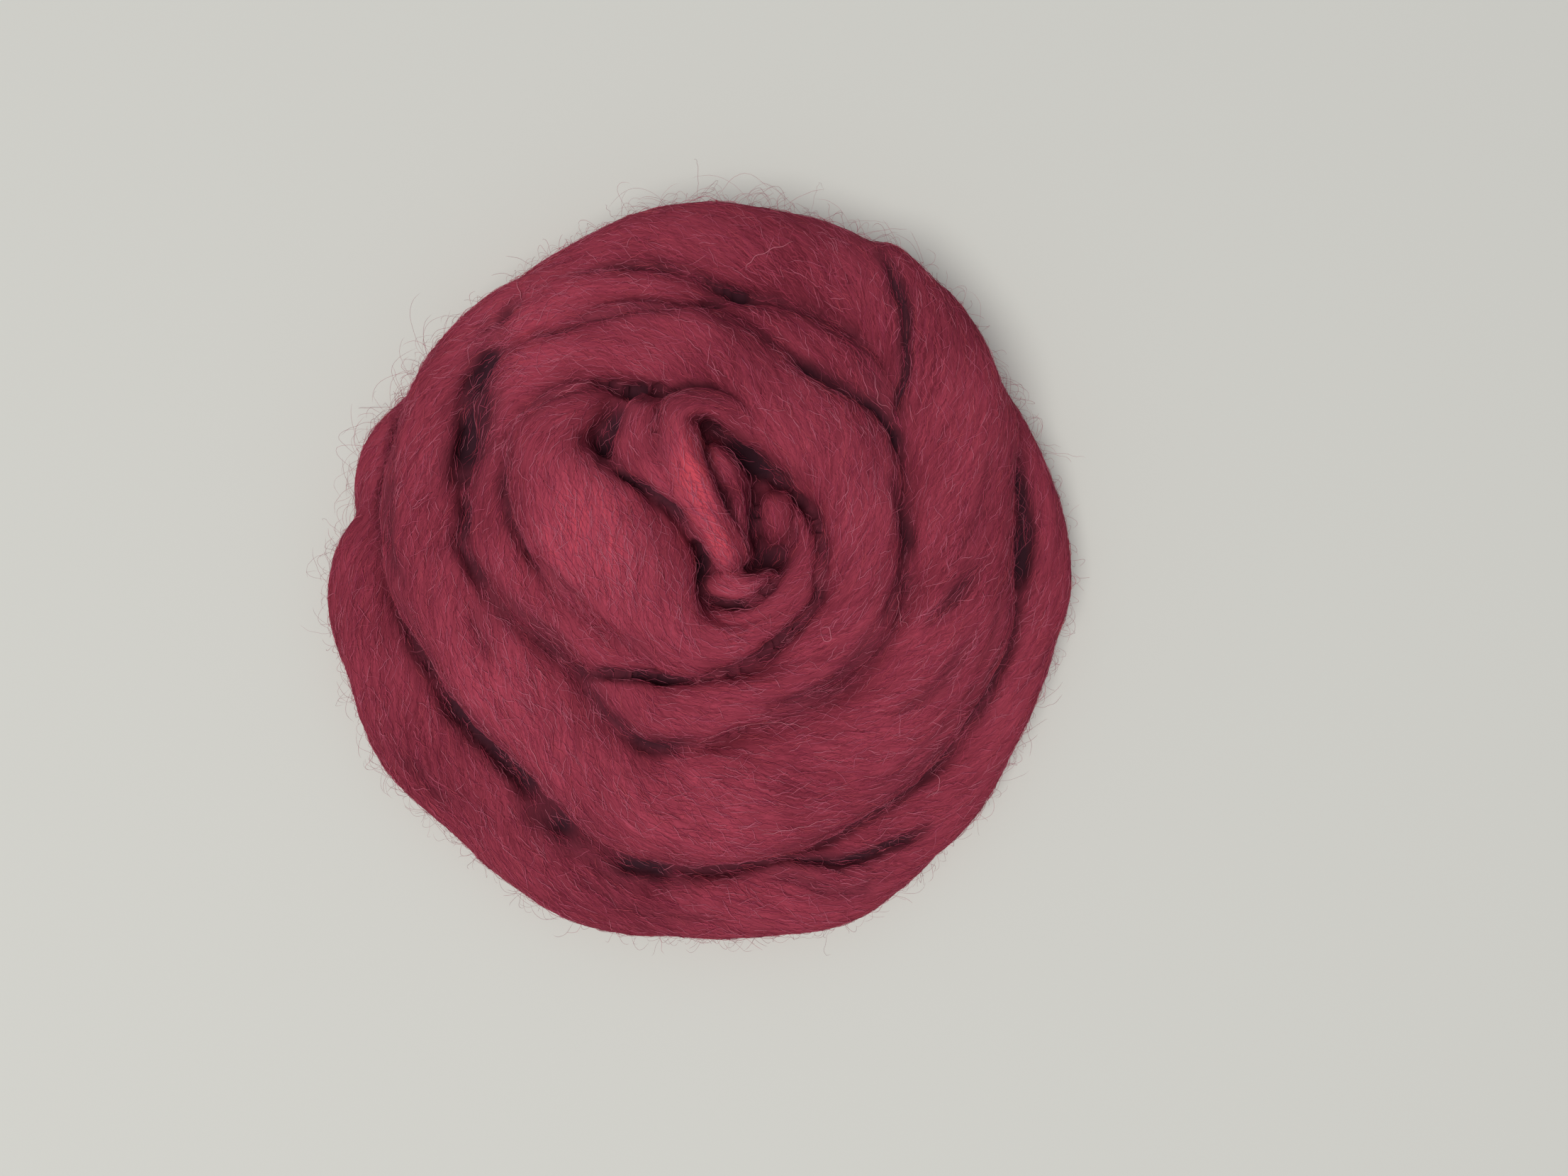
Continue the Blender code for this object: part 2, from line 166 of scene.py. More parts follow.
FOLDS = {
    # The broad lobe at the left, which comes from under the third ring and fans out. Below
    # it draws in and winds round to the right as the innermost turn.
    "left_lobe": (
        (-18.5, 44, 7.5, 26, 42), (-26.5, 41, 13.5, 26, 49), (-33, 34.5, 18.5, 26, 52.5),
        (-34.5, 26.5, 23.5, 26, 54.5), (-31, 18.5, 29.5, 26, 56), (-25, 11, 34, 26, 56.5),
        (-18.5, 3.5, 35, 26, 56), (-12.5, -5, 31.5, 26, 54), (-7.5, -12, 26, 26, 51),
        (-1.5, -17, 21.5, 24, 48), (5, -18.5, 18.5, 22, 46.5), (11.5, -17.5, 16, 22, 46),
        (17, -14, 13.5, 22, 45), (22, -9.5, 12, 22, 44.5), (26, -4, 11, 22, 43.5),
        (28.5, 3, 10, 22, 42.5), (29.5, 10, 8, 22, 40.5), (27, 16.5, 5, 22, 35),
    ),
    # The fold beside it, which comes down from the third ring and runs in under the ridge.
    "fold_root": (
        (-9.5, 45, 8, 24, 45), (-10.5, 41.5, 10, 22, 50), (-12, 37, 12, 22, 53),
        (-12, 31, 15.5, 22, 54), (-9, 25, 16, 22, 54.5), (-4, 19.5, 14, 22, 53.5),
        (0.5, 13, 9, 22, 50),
    ),
    # The bright ridge: it arches over from the third ring and runs down through the middle.
    "ridge": (
        (16.5, 30, 6, 30, 43), (14, 34.5, 7.5, 28, 47), (9, 38.8, 7.5, 28, 49.5),
        (3, 40.2, 7.5, 26, 52), (-2.5, 38, 10, 22, 54.5), (-3.5, 33, 12, 22, 56),
        (-2, 26, 13, 22, 56.5), (1.5, 18, 13.5, 22, 56.5), (5.5, 11, 12.5, 20, 54),
        (9, 5, 11.5, 18, 50.5), (12, -1.5, 10, 16, 46),
    ),
    # The strand that lies lower beside the ridge, along the edge of the deep gap.
    "inner_strand": (
        (3.5, 31.5, 5, 14, 41), (6, 27.5, 8.5, 14, 47), (9.5, 21.5, 10.5, 14, 48.5),
        (11.5, 14.5, 9, 14, 47.5), (13, 8, 7, 14, 44), (14, 3.5, 5, 14, 37),
    ),
    # The small round fold between the two gaps.
    "knob": (
        (19.5, 20, 7, 14, 36), (20.5, 17, 9.5, 14, 40.5), (21.3, 13, 10.5, 14, 42),
        (21, 8.5, 9, 14, 40), (20.5, 4.5, 6, 14, 34),
    ),
    # The inner end of the strand, curled up as a small crescent.
    "inner_end": (
        (2.5, -1, 4, 26, 38), (5, -3.5, 6.5, 26, 43), (10, -5, 7.5, 26, 45),
        (14.5, -4.5, 7.5, 26, 45), (18.5, -2.5, 6, 26, 42), (21, 0, 4, 24, 38),
    ),
    # The wool that shows deep in the gaps of the middle and in the gap at the left.
    "middle_bed": (
        (4, 38, 10, 12, 38), (8, 33, 12, 12, 39), (14, 27, 13, 12, 36.5), (18, 20, 12, 12, 35),
        (18, 10, 12, 12, 34.5), (17, 2, 13, 12, 34.5), (10, -5, 13, 12, 39), (4, -6, 12, 12, 41),
        (1, 0, 11, 12, 42), (3, 6, 10, 12, 43), (5, 11, 8, 12, 40),
    ),
    "lobe_bed": (
        (-17, 46, 8, 12, 40), (-18, 40, 10, 12, 43), (-20, 33, 11, 12, 44.5),
        (-18, 27, 10, 12, 45), (-13, 22, 9, 12, 44),
    ),
    "left_bed": (
        (-46, 66, 8, 8, 28), (-52, 58, 10, 8, 30), (-56.5, 49, 11, 8, 31), (-59, 40, 11, 8, 31),
        (-61, 31, 10, 8, 30), (-62, 24, 8, 8, 28),
    ),
}

# --- creases and hollows ---
# Each is drawn where it shows to someone looking down from CAMERA, on the plane DRAWN_AT:
# how wide it is, how deep it presses into the wool, and the places it runs through.

CREASES = {
    # Between the turns.
    "gap_at_left": (3.6, 3.0, (-52, 60), (-54, 54), (-55.8, 47), (-57, 39), (-58.5, 31),
        (-60, 25)),
    "left_turn": (1.7, 1.6, (-60.5, 21), (-60.5, 12), (-61, 5), (-58, 0), (-53, -6)),
    "outer_end": (1.5, 1.6, (-76, 45), (-78, 35), (-80, 25), (-80.5, 16), (-79.5, 6), (-77, -4)),
    "under_left_sliver": (2.0, 2.0, (-46, 71), (-49, 65), (-53, 58)),
    "under_sliver": (1.3, 1.6, (-41, 60), (-35, 61.5), (-28, 64), (-20, 66.3), (-10, 67.3),
        (0, 66.7)),
    "top_groove": (1.5, 1.1, (-30, 77), (-20, 78), (-10, 78), (-2, 76.5)),
    "top_turn": (1.7, 1.8, (1, 75), (6, 72), (11, 70), (18, 68.8)),
    "top_turn_right": (1.3, 1.2, (18, 69.3), (29, 66), (37, 62.5), (43, 57), (47, 50), (50, 43)),
    "sliver_tip": (1.3, 1.8, (0, 66.7), (5, 67.7), (9, 69.5)),
    "ring_right": (1.3, 1.0, (3, 65.5), (12, 62.5), (20, 58), (25, 54)),
    "ring_right_deep": (1.5, 2.3, (25, 54), (31, 50.5), (40, 46), (47, 41.5), (51.5, 35),
        (53, 27)),
    "ring_right_low": (1.6, 1.7, (53, 27), (54, 15), (55, 5), (54.5, -3), (52, -9), (49, -16)),
    "ring_bottom": (1.9, 1.6, (49, -16), (43, -23.5), (37, -30), (28, -35), (20, -38)),
    "lobe_top": (1.2, 1.5, (-44, 39.5), (-38, 44), (-31, 46.5), (-24, 47.5), (-17, 46.2),
        (-12, 45.8)),
    "arch_top": (1.2, 1.0, (-12, 45.8), (-6.7, 45.2), (-2.5, 46.8), (2.8, 46.3), (7.6, 44.3)),
    "pit_above_root": (1.8, 2.2, (-20, 45.4), (-14.1, 46), (-9, 45.6)),
    "lobe_left": (1.3, 1.4, (-47.5, 34), (-49, 24), (-48, 12), (-44, 5), (-38.5, -1), (-32, -7),
        (-26.5, -12.5)),
    "lobe_low": (1.2, 0.8, (-26.5, -12.5), (-18.5, -18), (-12.5, -22), (-9.5, -26.5)),
    "inner_ring_left": (2.4, 1.6, (-53, -6), (-47, -11), (-40, -16), (-34, -21.5), (-30, -26)),
    "inner_ring_low": (1.3, 2.0, (-33, -23.5), (-28, -27.5), (-20, -28.3), (-10, -28.9), (0, -29)),
    "inner_ring_right": (1.3, 1.1, (0, -29.3), (9, -27.5), (19, -21.5), (26, -15.5), (31, -8),
        (32, 0)),
    "low_band": (1.5, 2.1, (-29, -28), (-26.5, -33), (-23, -38), (-18, -42.5), (-13, -45.5),
        (-7, -46.3), (-1, -46)),
    "right_edge_gap": (1.9, 2.6, (84.5, 28), (85, 20), (86, 11), (85.5, 2), (84.5, -6)),
    "right_edge_low": (1.7, 1.4, (84.5, -6), (83, -16), (80.5, -25), (76, -35), (69, -44)),
    "low_right_edge": (1.7, 1.4, (69, -44), (60, -53), (50, -61), (40, -68), (29, -73.5)),
    "bottom_edge": (1.9, 1.8, (29, -73.5), (20, -76.5), (10, -78.5), (0, -79), (-8, -78.5)),
    "left_edge": (1.9, 1.4, (-78, -8), (-74.5, -16), (-70.5, -23), (-66, -31)),
    "left_edge_low": (2.0, 2.2, (-66, -31), (-62, -38), (-54, -47), (-46, -55), (-40, -61)),
    # Hollows between the outermost turn and the one over it.
    "hollow_low_left": (3.4, 3.0, (-40, -63), (-35, -67), (-30, -70)),
    "hollow_bottom": (2.6, 2.8, (-23, -75), (-17, -77.5), (-10, -79), (-4, -79.5)),
    # Folds within a turn.
    "folded_edge": (1.4, 2.6, (49, 82), (51.5, 77), (53.5, 71), (54.8, 65), (55, 57), (54, 49),
        (52.7, 40)),
    "fold_at_right": (1.5, 1.7, (74, 1), (70, -4), (66, -9), (62, -13)),
    "groove_at_right": (1.5, 0.7, (78, 33), (77, 25), (75, 17), (72, 8), (68, 1)),
    "edge_line": (1.4, 0.7, (80, -8), (78, -20), (73, -32), (65, -43), (55, -52), (44, -61)),
    "groove_low_right": (1.5, 1.0, (73, -17), (68, -25), (61, -33), (52, -39)),
    "groove_left": (1.4, 0.9, (-57.5, -8), (-56.5, -14), (-54.5, -20), (-52.5, -26)),
    "tuck_low_right": (1.4, 2.6, (22, -75), (30, -76), (38, -77), (43, -76), (49, -72.5),
        (56, -70), (60, -68.5)),
    "tuck_below": (1.5, 1.3, (17, -79), (26, -81), (32, -83), (39, -84.5), (45, -83), (50, -79)),
    "outer_groove": (1.5, 0.9, (-79, -47), (-73, -52), (-68, -57), (-61, -62)),
    "rim_groove": (1.4, 0.8, (-31, -80), (-20, -87), (-9, -90), (6, -91)),
    "outer_fold": (1.5, 1.1, (-37, -71), (-29, -75), (-22, -80), (-15, -83)),
    # In the heap of folds.
    "pit_by_lobe": (2.4, 2.2, (-18.4, 42.8), (-21, 37.5), (-23.2, 32.5), (-23.7, 28), (-20, 25.5)),
    "lobe_crease": (1.4, 2.0, (-24, 26.5), (-17, 23), (-11.5, 20), (-5, 14.8), (-1, 9.5)),
    "pit_below_lobe": (1.7, 2.4, (0, 8), (2, 3.5), (1.5, -2), (2, -7)),
    "root_groove": (1.3, 0.9, (-9.5, 44), (-9, 37), (-8, 30), (-6, 23), (-2, 16)),
    "beside_ridge": (1.1, 1.2, (1.5, 36), (2.8, 29), (5.5, 22.5), (9, 16.5), (12.5, 10.5),
        (14.5, 5)),
    "arch_hole": (1.8, 2.4, (3, 37.5), (5, 36.5), (9, 33)),
    "deep_gap": (2.6, 2.8, (9, 32.5), (13.5, 28.2), (18.5, 24.3), (23, 22.2)),
    "gap_tail": (1.3, 1.2, (22.5, 22), (27, 18.5), (31, 13), (33, 7), (33.5, -1)),
    "beside_knob": (2.0, 2.0, (14.7, 20), (15, 13), (15.7, 5)),
    "right_of_knob": (1.2, 0.8, (24.5, 19), (26, 14), (25.5, 8), (23.5, 4)),
    "second_pit": (2.6, 2.6, (15, 1), (18, 2.2), (21.5, 2)),
    "under_inner_end": (1.3, 1.5, (1.5, -8), (5, -9), (10, -9.8), (15, -8.5), (20, -5),
        (23, -0.5)),
}

# Patches of painted light (above 0) and painted shade (below 0), where the wool catches more or
# less of the light, drawn in the same way: the middle of the patch, how far it reaches, and how
# strong it is.
PAINTED_LIGHT_PATCHES = {
    "outer turn, left": (-84, 0, 22, -0.45),
    "outer turn, low left": (-62, -58, 20, -0.4),
    "outer turn, bottom": (-10, -90, 24, -0.5),
    "outer turn, right": (92, 5, 24, -0.2),
    "broad ring, low left": (-50, -30, 18, 0.6),
    "broad ring, bottom": (0, -60, 22, 0.5),
    "broad ring, top": (20, 78, 24, -0.7),
    "broad ring, top right": (58, 66, 18, -0.8),
    "broad ring, high left": (-44, 68, 15, 1.0),
    "third ring, left": (-54, 18, 12, -0.7),
    "broad ring, left": (-66, 12, 14, 0.3),
    "third ring, top": (6, 58, 12, -0.45),
    "lobe": (-29, 15, 17, 1.3),
    "lobe, low": (-10, -10, 12, 0.3),
    "ridge": (-1, 28, 6.5, 2.2),
    "ridge, middle": (2, 19, 6.5, 2.0),
    "ridge, low": (7, 9, 6.5, 2.6),
    "ridge, top": (-1, 38, 6, 1.2),
    "beside the fold": (-14, 32, 5, -0.6),
    "beside the broad ring": (-27, -38, 7, -0.8),
    "innermost turn": (10, -18, 10, 0.4),
    "between ridge and knob": (15.5, 10, 5, -1.2),
    "beside the ridge": (10, 22, 4.5, -2.0),
    "inner end": (10, -5.5, 6, 1.2),
    "rim, upper right": (70, 52, 14, 0.3),
}

# How far the fibres on each length of strand lean outward from its run, in degrees.
FIBRE_LEAN = {
    "lower_turns": 18, "outer_turn": 20, "climbing_turn": 22, "right_sliver": 24,
    "left_sliver": 10, "upper_ring": 24, "left_lobe": 22, "fold_root": 4, "ridge": -6,
    "inner_strand": -4, "knob": 0, "inner_end": 6, "middle_bed": 10, "lobe_bed": 10,
    "left_bed": 10,
}

# Where long fibres stand off the rim: the angle round the nest and how far to each side of it
# in degrees, how many there are, their length in mm, and how far they stand up, from 0 to 1.
FLYAWAYS = (
    (84, 12, 30, 18, 0.6), (100, 6, 26, 12, 0.7), (62, 10, 18, 15, 0.6), (45, 10, 18, 13, 0.5),
    (28, 10, 22, 12, 0.5), (120, 12, 22, 8, 0.5), (147, 6, 50, 14, 0.7), (158, 6, 90, 12, 0.7),
    (170, 6, 40, 11, 0.6), (182, 8, 30, 12, 0.6), (205, 10, 45, 10, 0.5), (222, 12, 60, 8, 0.5),
    (245, 14, 25, 9, 0.5), (272, 14, 35, 8, 0.4), (300, 14, 30, 8, 0.4), (330, 12, 30, 10, 0.5),
    (355, 12, 25, 12, 0.5),
)

# Long bright fibres that lie across the turns, drawn as the creases are.
STRAY_FIBRES = (
    ((0, -46), (6, -43), (12, -41), (19, -40), (26, -41), (31, -42.5)),
    ((17, -69.5), (23, -68.3), (29, -67), (35, -64.8)),
    ((13, 77), (15, 80), (20, 82.5), (26, 84.5)), ((46, 51), (47, 47), (48, 43), (51, 41)),
    ((33, -15.5), (35, -16), (35.5, -18.5), (33.5, -19), (33, -16.8)),
    ((53, -5), (52.5, -9), (53.5, -13), (56, -16)), ((-46.5, 75), (-45.5, 72), (-44.5, 69)),
    ((-37, 44), (-30, 47.5), (-24, 47), (-19, 44)), ((60, -60), (63, -58), (63.5, -55), (61, -53)),
    ((-43, -45), (-41, -50), (-38, -56), (-36, -59)),
)

# The coats of fibres, from the deepest: name, seed, shades, how far they lift off the wool in mm,
# how far they stray from its run in degrees, and how much more of them lie in the patches of
# painted light, when above 0, and of painted shade, when below 0, so that the paler coats add
# painted light and the deepest painted shade.
COATS = (
    ("fibres_deep", 11, ("A43E54", "AE465A", "9C3A54"), 0.08, 14.0, -1.0),
    ("fibres_mid", 12, ("BC4A62", "C05260", "A8445C"), 0.14, 18.0, 0.6),
    ("fibres_light", 13, ("C6627A", "BE566E", "CE7286"), 0.28, 26.0, 1.0),
)

# The whole strand as one run of sections: where each is, which way the strand runs there,
# which way is outward, its half width and half height, how far along it is, and whose it is.
Strand = namedtuple("Strand", "centre run outward half_width half_height along owner")


def linear(hex_colour):
    """An sRGB colour written as six hex digits, as linear red, green, blue and full alpha."""
    parts = [int(hex_colour[i:i + 2], 16) / 255 for i in (0, 2, 4)]
    return (*(((p + 0.055) / 1.055) ** 2.4 if p > 0.04045 else p / 12.92 for p in parts), 1.0)


# --- settings ---


class StrandSettings(bpy.types.PropertyGroup):
    """Sizes and colours of the wound strand."""

    grain_mm: FloatProperty(
        name="Grain", description="Side of the finest face, in mm", default=1.18, min=0.8
    )
    lock_relief_mm: FloatProperty(
        name="Lock relief", description="Height of the broad locks of fibre, in mm", default=0.6
    )
    streak_relief_mm: FloatProperty(
        name="Streak relief", description="Height of the fine streaks, in mm", default=0.2
    )
    valley_mm: FloatProperty(
        name="Valley depth", default=0.9,
        description="How much deeper a valley between turns is drawn in, in mm",
    )
    light_wool: FloatVectorProperty(
        name="Light wool", description="Colour of the fibres that catch the light",
        subtype="COLOR", size=4, min=0, max=1, default=linear("AA4456"),
    )
    # Painted highlight: the wool takes this colour where the patches of painted light are
    # strongest, as along the ridge.
    painted_highlight_wool: FloatVectorProperty(
        name="Painted highlight", description="Colour of the painted highlights",
        subtype="COLOR", size=4, min=0, max=1, default=linear("CE4E5C"),
    )
    # The dark between the fibres' streaks, and also the colour that the broad valleys are mixed
    # towards as painted shade.
    deep_wool_and_shade: FloatVectorProperty(
        name="Deep wool and valley shade", description="Colour between the fibres, and of the painted valley shade",
        subtype="COLOR", size=4, min=0, max=1, default=linear("66222F"),
    )
    # Painted shade: the wool is mixed towards this darker colour along the creases and in the
    # hollows, where shadow falls.
    crease_shade_wool: FloatVectorProperty(
        name="Painted crease shade", description="Colour of the painted shade deep in the creases",
        subtype="COLOR", size=4, min=0, max=1, default=linear("3A2029"),
    )


class CoatSettings(bpy.types.PropertyGroup):
    """The single fibres that lie on the strand, five times as thick as real ones, so they show."""

    fibres: IntProperty(
        name="Fibres in a coat", description="How many fibres each coat has", default=8000
    )
    length: FloatProperty(
        name="Fibre length", description="Length of a fibre that shows", default=0.0058,
        unit="LENGTH",
    )
    thickness: FloatProperty(
        name="Fibre thickness", description="Thickness of a fibre as drawn", default=0.00011,
        unit="LENGTH",
    )
    crimp: FloatProperty(
        name="Crimp", description="How far the crimp swings to each side", default=0.00018,
        unit="LENGTH",
    )
    crimp_length: FloatProperty(
        name="Crimp length", description="Length of one wave of the crimp", default=0.0032,
        unit="LENGTH",
    )


class FuzzSettings(bpy.types.PropertyGroup):
    """The loose fibres that stand off the nest, three times as thick as real ones."""

    fuzz: IntProperty(name="Fuzz", description="How many short fibres stand off it", default=1500)
    thickness: FloatProperty(
        name="Flyaway thickness", description="Thickness of a loose fibre as drawn",
        default=0.00006, unit="LENGTH",
    )
    reach: FloatProperty(
        name="Reach", description="How far the longest stand off the nest", default=0.011,
        unit="LENGTH",
    )


class StageSettings(bpy.types.PropertyGroup):
    """The table, the lights and the camera."""

    table: FloatVectorProperty(
        name="Table", description="Colour of the table",
        subtype="COLOR", size=4, min=0, max=1, default=linear("D6D6CF"),
    )
    key_power: FloatProperty(
        name="Key light", description="Power of the soft window light", default=67.0
    )
    sky: FloatProperty(
        name="Room light", description="Strength of the even light of the room", default=0.30
    )
    camera_height: FloatProperty(
        name="Camera height", description="Height of the camera over the table",
        default=CAMERA[2] * MM, unit="LENGTH",
    )


# --- the shape of the strand ---


def between(before, start, end, beyond, share):
    """The place at this share of the way from start to end, on a smooth curve through all four."""
    bend = (2 * before - 5 * start + 4 * end - beyond) * share**2
    swing = (3 * start - before - 3 * end + beyond) * share**3
    return start + 0.5 * ((end - before) * share + bend + swing)


def curve_through(rows, steps=8):
    """Fill a table in between its rows, on a smooth curve that passes through each row."""
    table = np.array(rows, dtype=float)
    padded = np.vstack([table[0], table, table[-1]])
    runs = zip(padded, padded[1:], padded[2:], padded[3:])
    return np.array([*(between(*run, k / steps) for run in runs for k in range(steps)), table[-1]])


def turn_places(rows):
    """Places along a turn: x, y and z of the section's centre, its half width and half height."""
    angle, inner, outer, low, high = curve_through(rows).T
    angle, radius = np.radians(angle), (inner + outer) / 2
    x, y = radius * np.cos(angle), radius * np.sin(angle)
    return np.column_stack([x, y, (low + high) / 2, (outer - inner) / 2, (high - low) / 2])


def fold_places(rows):
    """The same for a fold."""
    x, y, width, low, high = curve_through(rows).T
    return np.column_stack([x, y, (low + high) / 2, width / 2, (high - low) / 2])


def even_places(places):
    """Space the places evenly, and give each one's distance along the strand too."""
    gaps = np.linalg.norm(np.diff(places[:, :3], axis=0), axis=1)
    along = np.concatenate([[0.0], np.cumsum(gaps)])
    count = max(4, round(along[-1] / STEP_LENGTH))
    even = np.linspace(0.0, along[-1], count + 1)
    return np.column_stack([np.interp(even, along, column) for column in places.T]), even


def end_scale(along, half_width):
    """How much of its full size a section has, so that the strand's ends are rounded."""
    from_end = np.minimum(along, along[-1] - along)
    reach = 2 * END_ROUNDING * max(half_width.mean(), 1.0)
    share = np.clip(from_end / reach, 0.0, 1.0)
    return np.maximum(np.sqrt(1.0 - (1.0 - share) ** 2), 0.02)


def unit(vectors):
    """The same directions with length 1."""
    return vectors / np.maximum(np.linalg.norm(vectors, axis=-1, keepdims=True), 1e-9)


def whole_strand():
    """All the lengths of strand, turns first, in one set of arrays."""
    lengths = [turn_places(rows) for rows in TURNS.values()]
    lengths += [fold_places(rows) for rows in FOLDS.values()]
    parts = []
    for owner, places in enumerate(lengths):
        places, along = even_places(places)
        centre, half_width, half_height = places[:, :3], places[:, 3], places[:, 4]
        level = unit(unit(np.gradient(centre, axis=0)) * (1.0, 1.0, 0.0))
        outward = np.column_stack([level[:, 1], -level[:, 0], np.zeros(len(level))])
        scale = end_scale(along, half_width)
        parts.append((centre, level, outward, half_width * scale, half_height * scale, along,
                      np.full(len(along), owner)))
    return Strand(*(np.concatenate(column) for column in zip(*parts)))


def lofted(strand):
    """Points and faces of every length of strand, each skinned over its sections and closed."""
    around = np.linspace(0.0, 2 * math.pi, SECTION_POINTS, endpoint=False)
    cos, sin = np.cos(around), np.sin(around)
    across = np.sign(cos) * np.abs(cos) ** (2 / SECTION_POWER)
    upward = np.sign(sin) * np.abs(sin) ** (2 / SECTION_POWER)
    k = np.arange(SECTION_POINTS)
    j = (k + 1) % SECTION_POINTS
    points, faces, first = [], [], 0
    for owner in range(strand.owner.max() + 1):
        mine = np.flatnonzero(strand.owner == owner)[1:-1]
        twist = 2 * math.pi * strand.along[mine, None] / TWIST_LENGTH
        ridge = RIDGE_HEIGHT * np.cos(RIDGES * (around + twist))
        out = strand.half_width[mine, None] * across + ridge * cos
        rings = strand.centre[mine, None] + out[..., None] * strand.outward[mine, None]
        rings[..., 2] += strand.half_height[mine, None] * upward + ridge * sin
        points += [rings.reshape(-1, 3), strand.centre[[mine[0] - 1, mine[-1] + 1]]]
        tip = first + len(mine) * SECTION_POINTS
        last = tip - SECTION_POINTS
        for near in range(first, last, SECTION_POINTS):
            far = near + SECTION_POINTS
            faces += np.column_stack([near + k, far + k, far + j, near + j]).tolist()
        faces += np.column_stack([np.full_like(k, tip), first + k, first + j]).tolist()
        faces += np.column_stack([np.full_like(k, tip + 1), last + j, last + k]).tolist()
        first = tip + 2
    return np.concatenate(points), faces


def mesh_of(name, points, faces):
    """A mesh of these points, in metres, and these faces."""
    mesh = bpy.data.meshes.new(name)
    mesh.from_pydata(points.tolist(), [], faces)
    mesh.update()
    return mesh


def put_in_scene(name, data):
    """An object of this data, in the scene's own collection."""
    made = bpy.data.objects.new(name, data)
    bpy.context.scene.collection.objects.link(made)
    return made


def melded(rough, grain):
    """The lengths of strand as one closed surface of even faces, a little relaxed."""
    meld = rough.modifiers.new("meld", "REMESH")
    meld.mode = "VOXEL"
    meld.voxel_size = grain
    soften = rough.modifiers.new("soften", "SMOOTH")
    soften.factor = 0.5
    soften.iterations = 2
    bpy.context.view_layer.update()
    finished = rough.evaluated_get(bpy.context.evaluated_depsgraph_get())
    mesh = bpy.data.meshes.new_from_object(finished)
    bpy.data.objects.remove(rough, do_unlink=True)
    return mesh


def read(items, field, width=1, stored=np.float32):
    """A field of a mesh's points, corners or faces, as an array of rows this wide."""
    values = np.empty(len(items) * width, dtype=stored)
    items.foreach_get(field, values)
    values = values.astype(float if stored is np.float32 else int)
    return values.reshape(-1, width) if width > 1 else values


# --- where a point lies on the strand ---


def section_coordinates(points, strand, places):
    """How far each point is across and up these sections, and how far ahead of them in mm.

    Across and up are shares of the section's half width and half height.
    """
    offset = points - strand.centre[places]
    across = (offset * strand.outward[places]).sum(-1) / strand.half_width[places]
    upward = offset[..., 2] / strand.half_height[places]
    return across, upward, (offset * strand.run[places]).sum(-1)


def find_places(points, strand, at_once=1500):
    """For each point, in mm, the section that it lies on, some at once to spare memory."""
    near = np.empty(len(points), dtype=int)
    every = np.arange(len(strand.along))
    for start in range(0, len(points), at_once):
        block = points[start:start + at_once, None, :].astype(np.float32)
        across, upward, ahead = section_coordinates(block, strand, every)
        level = np.abs(across) ** SECTION_POWER + np.abs(upward) ** SECTION_POWER
        beyond = np.maximum(np.abs(ahead) - STEP_LENGTH, 0.0)
        near[start:start + at_once] = (level ** (1 / SECTION_POWER) + beyond * 0.4).argmin(axis=1)
    return near


def strand_coordinates(points, near, strand):
    """Distance along the strand and distance round it from its ridge, outward positive, in mm."""
    across, upward, ahead = section_coordinates(points, strand, near)
    beside = np.clip(near + np.where(ahead > 0, 1, -1), 0, len(strand.along) - 1)
    beside = np.where(strand.owner[beside] == strand.owner[near], beside, near)
    across_2, upward_2, ahead_2 = section_coordinates(points, strand, beside)
    spread = ahead - ahead_2
    apart = np.abs(spread) > 1e-6
    share = np.clip(np.where(apart, ahead / np.where(apart, spread, 1), 0), 0.0, 1.0)
    along = strand.along[near] + share * (strand.along[beside] - strand.along[near])
    across += share * (across_2 - across)
    upward += share * (upward_2 - upward)
    half = SECTION_POWER / 2
    angle = np.arctan2(np.sign(upward) * np.abs(upward) ** half,
                       np.sign(across) * np.abs(across) ** half)
    from_ridge = (math.pi / 2 - angle + math.pi) % (2 * math.pi) - math.pi
    return along, from_ridge * AROUND


def lattice(i, j, seed):
    """A fixed random number from -1 to 1 for each whole-numbered place."""
    wave = np.sin(i * 127.1 + j * 311.7 + seed * 74.7) * 43758.5453
    return 2.0 * (wave - np.floor(wave)) - 1.0


def soft_noise(x, y, seed):
    """Smooth noise from -1 to 1, one bump to a unit."""
    i, j = np.floor(x), np.floor(y)
    u, v = x - i, y - j
    u, v = u * u * (3 - 2 * u), v * v * (3 - 2 * v)
    near = lattice(i, j, seed) * (1 - u) + lattice(i + 1, j, seed) * u
    far = lattice(i, j + 1, seed) * (1 - u) + lattice(i + 1, j + 1, seed) * u
    return near * (1 - v) + far * v


def patchy(spots, size, seed, shift=0):
    """Smooth noise over the nest seen from above, one bump to a patch of this size in mm."""
    return soft_noise(spots[:, 0] / size + shift, spots[:, 1] / size, seed)


def fibre_coordinates(along, around, lean, owner):
    """Distances along and across the fibres, which lean outward from the strand's run."""
    cos, sin = np.cos(lean), np.sin(lean)
    return along * cos + around * sin, around * cos - along * sin + owner * LENGTHS_APART


def relaxed(mesh, spots, rounds):
    """The points after each has moved many times to the middle of its neighbours."""
    edge = read(mesh.edges, "vertices", 2, np.int32)
    count = np.maximum(np.bincount(edge.ravel(), minlength=len(spots)), 1)
    for _ in range(rounds):
        total = np.column_stack([
            np.bincount(edge[:, 0], spots[edge[:, 1], k], len(spots))
            + np.bincount(edge[:, 1], spots[edge[:, 0], k], len(spots))
            for k in range(3)
        ])
        spots = 0.4 * spots + 0.6 * total / count[:, None]
    return spots


def normals_of(mesh, spots):
    """Move the mesh's vertices to these places, in mm, and give their normals."""
    mesh.vertices.foreach_set("co", (spots * MM).ravel())
    mesh.update()
    return read(mesh.vertex_normals, "vector", 3)


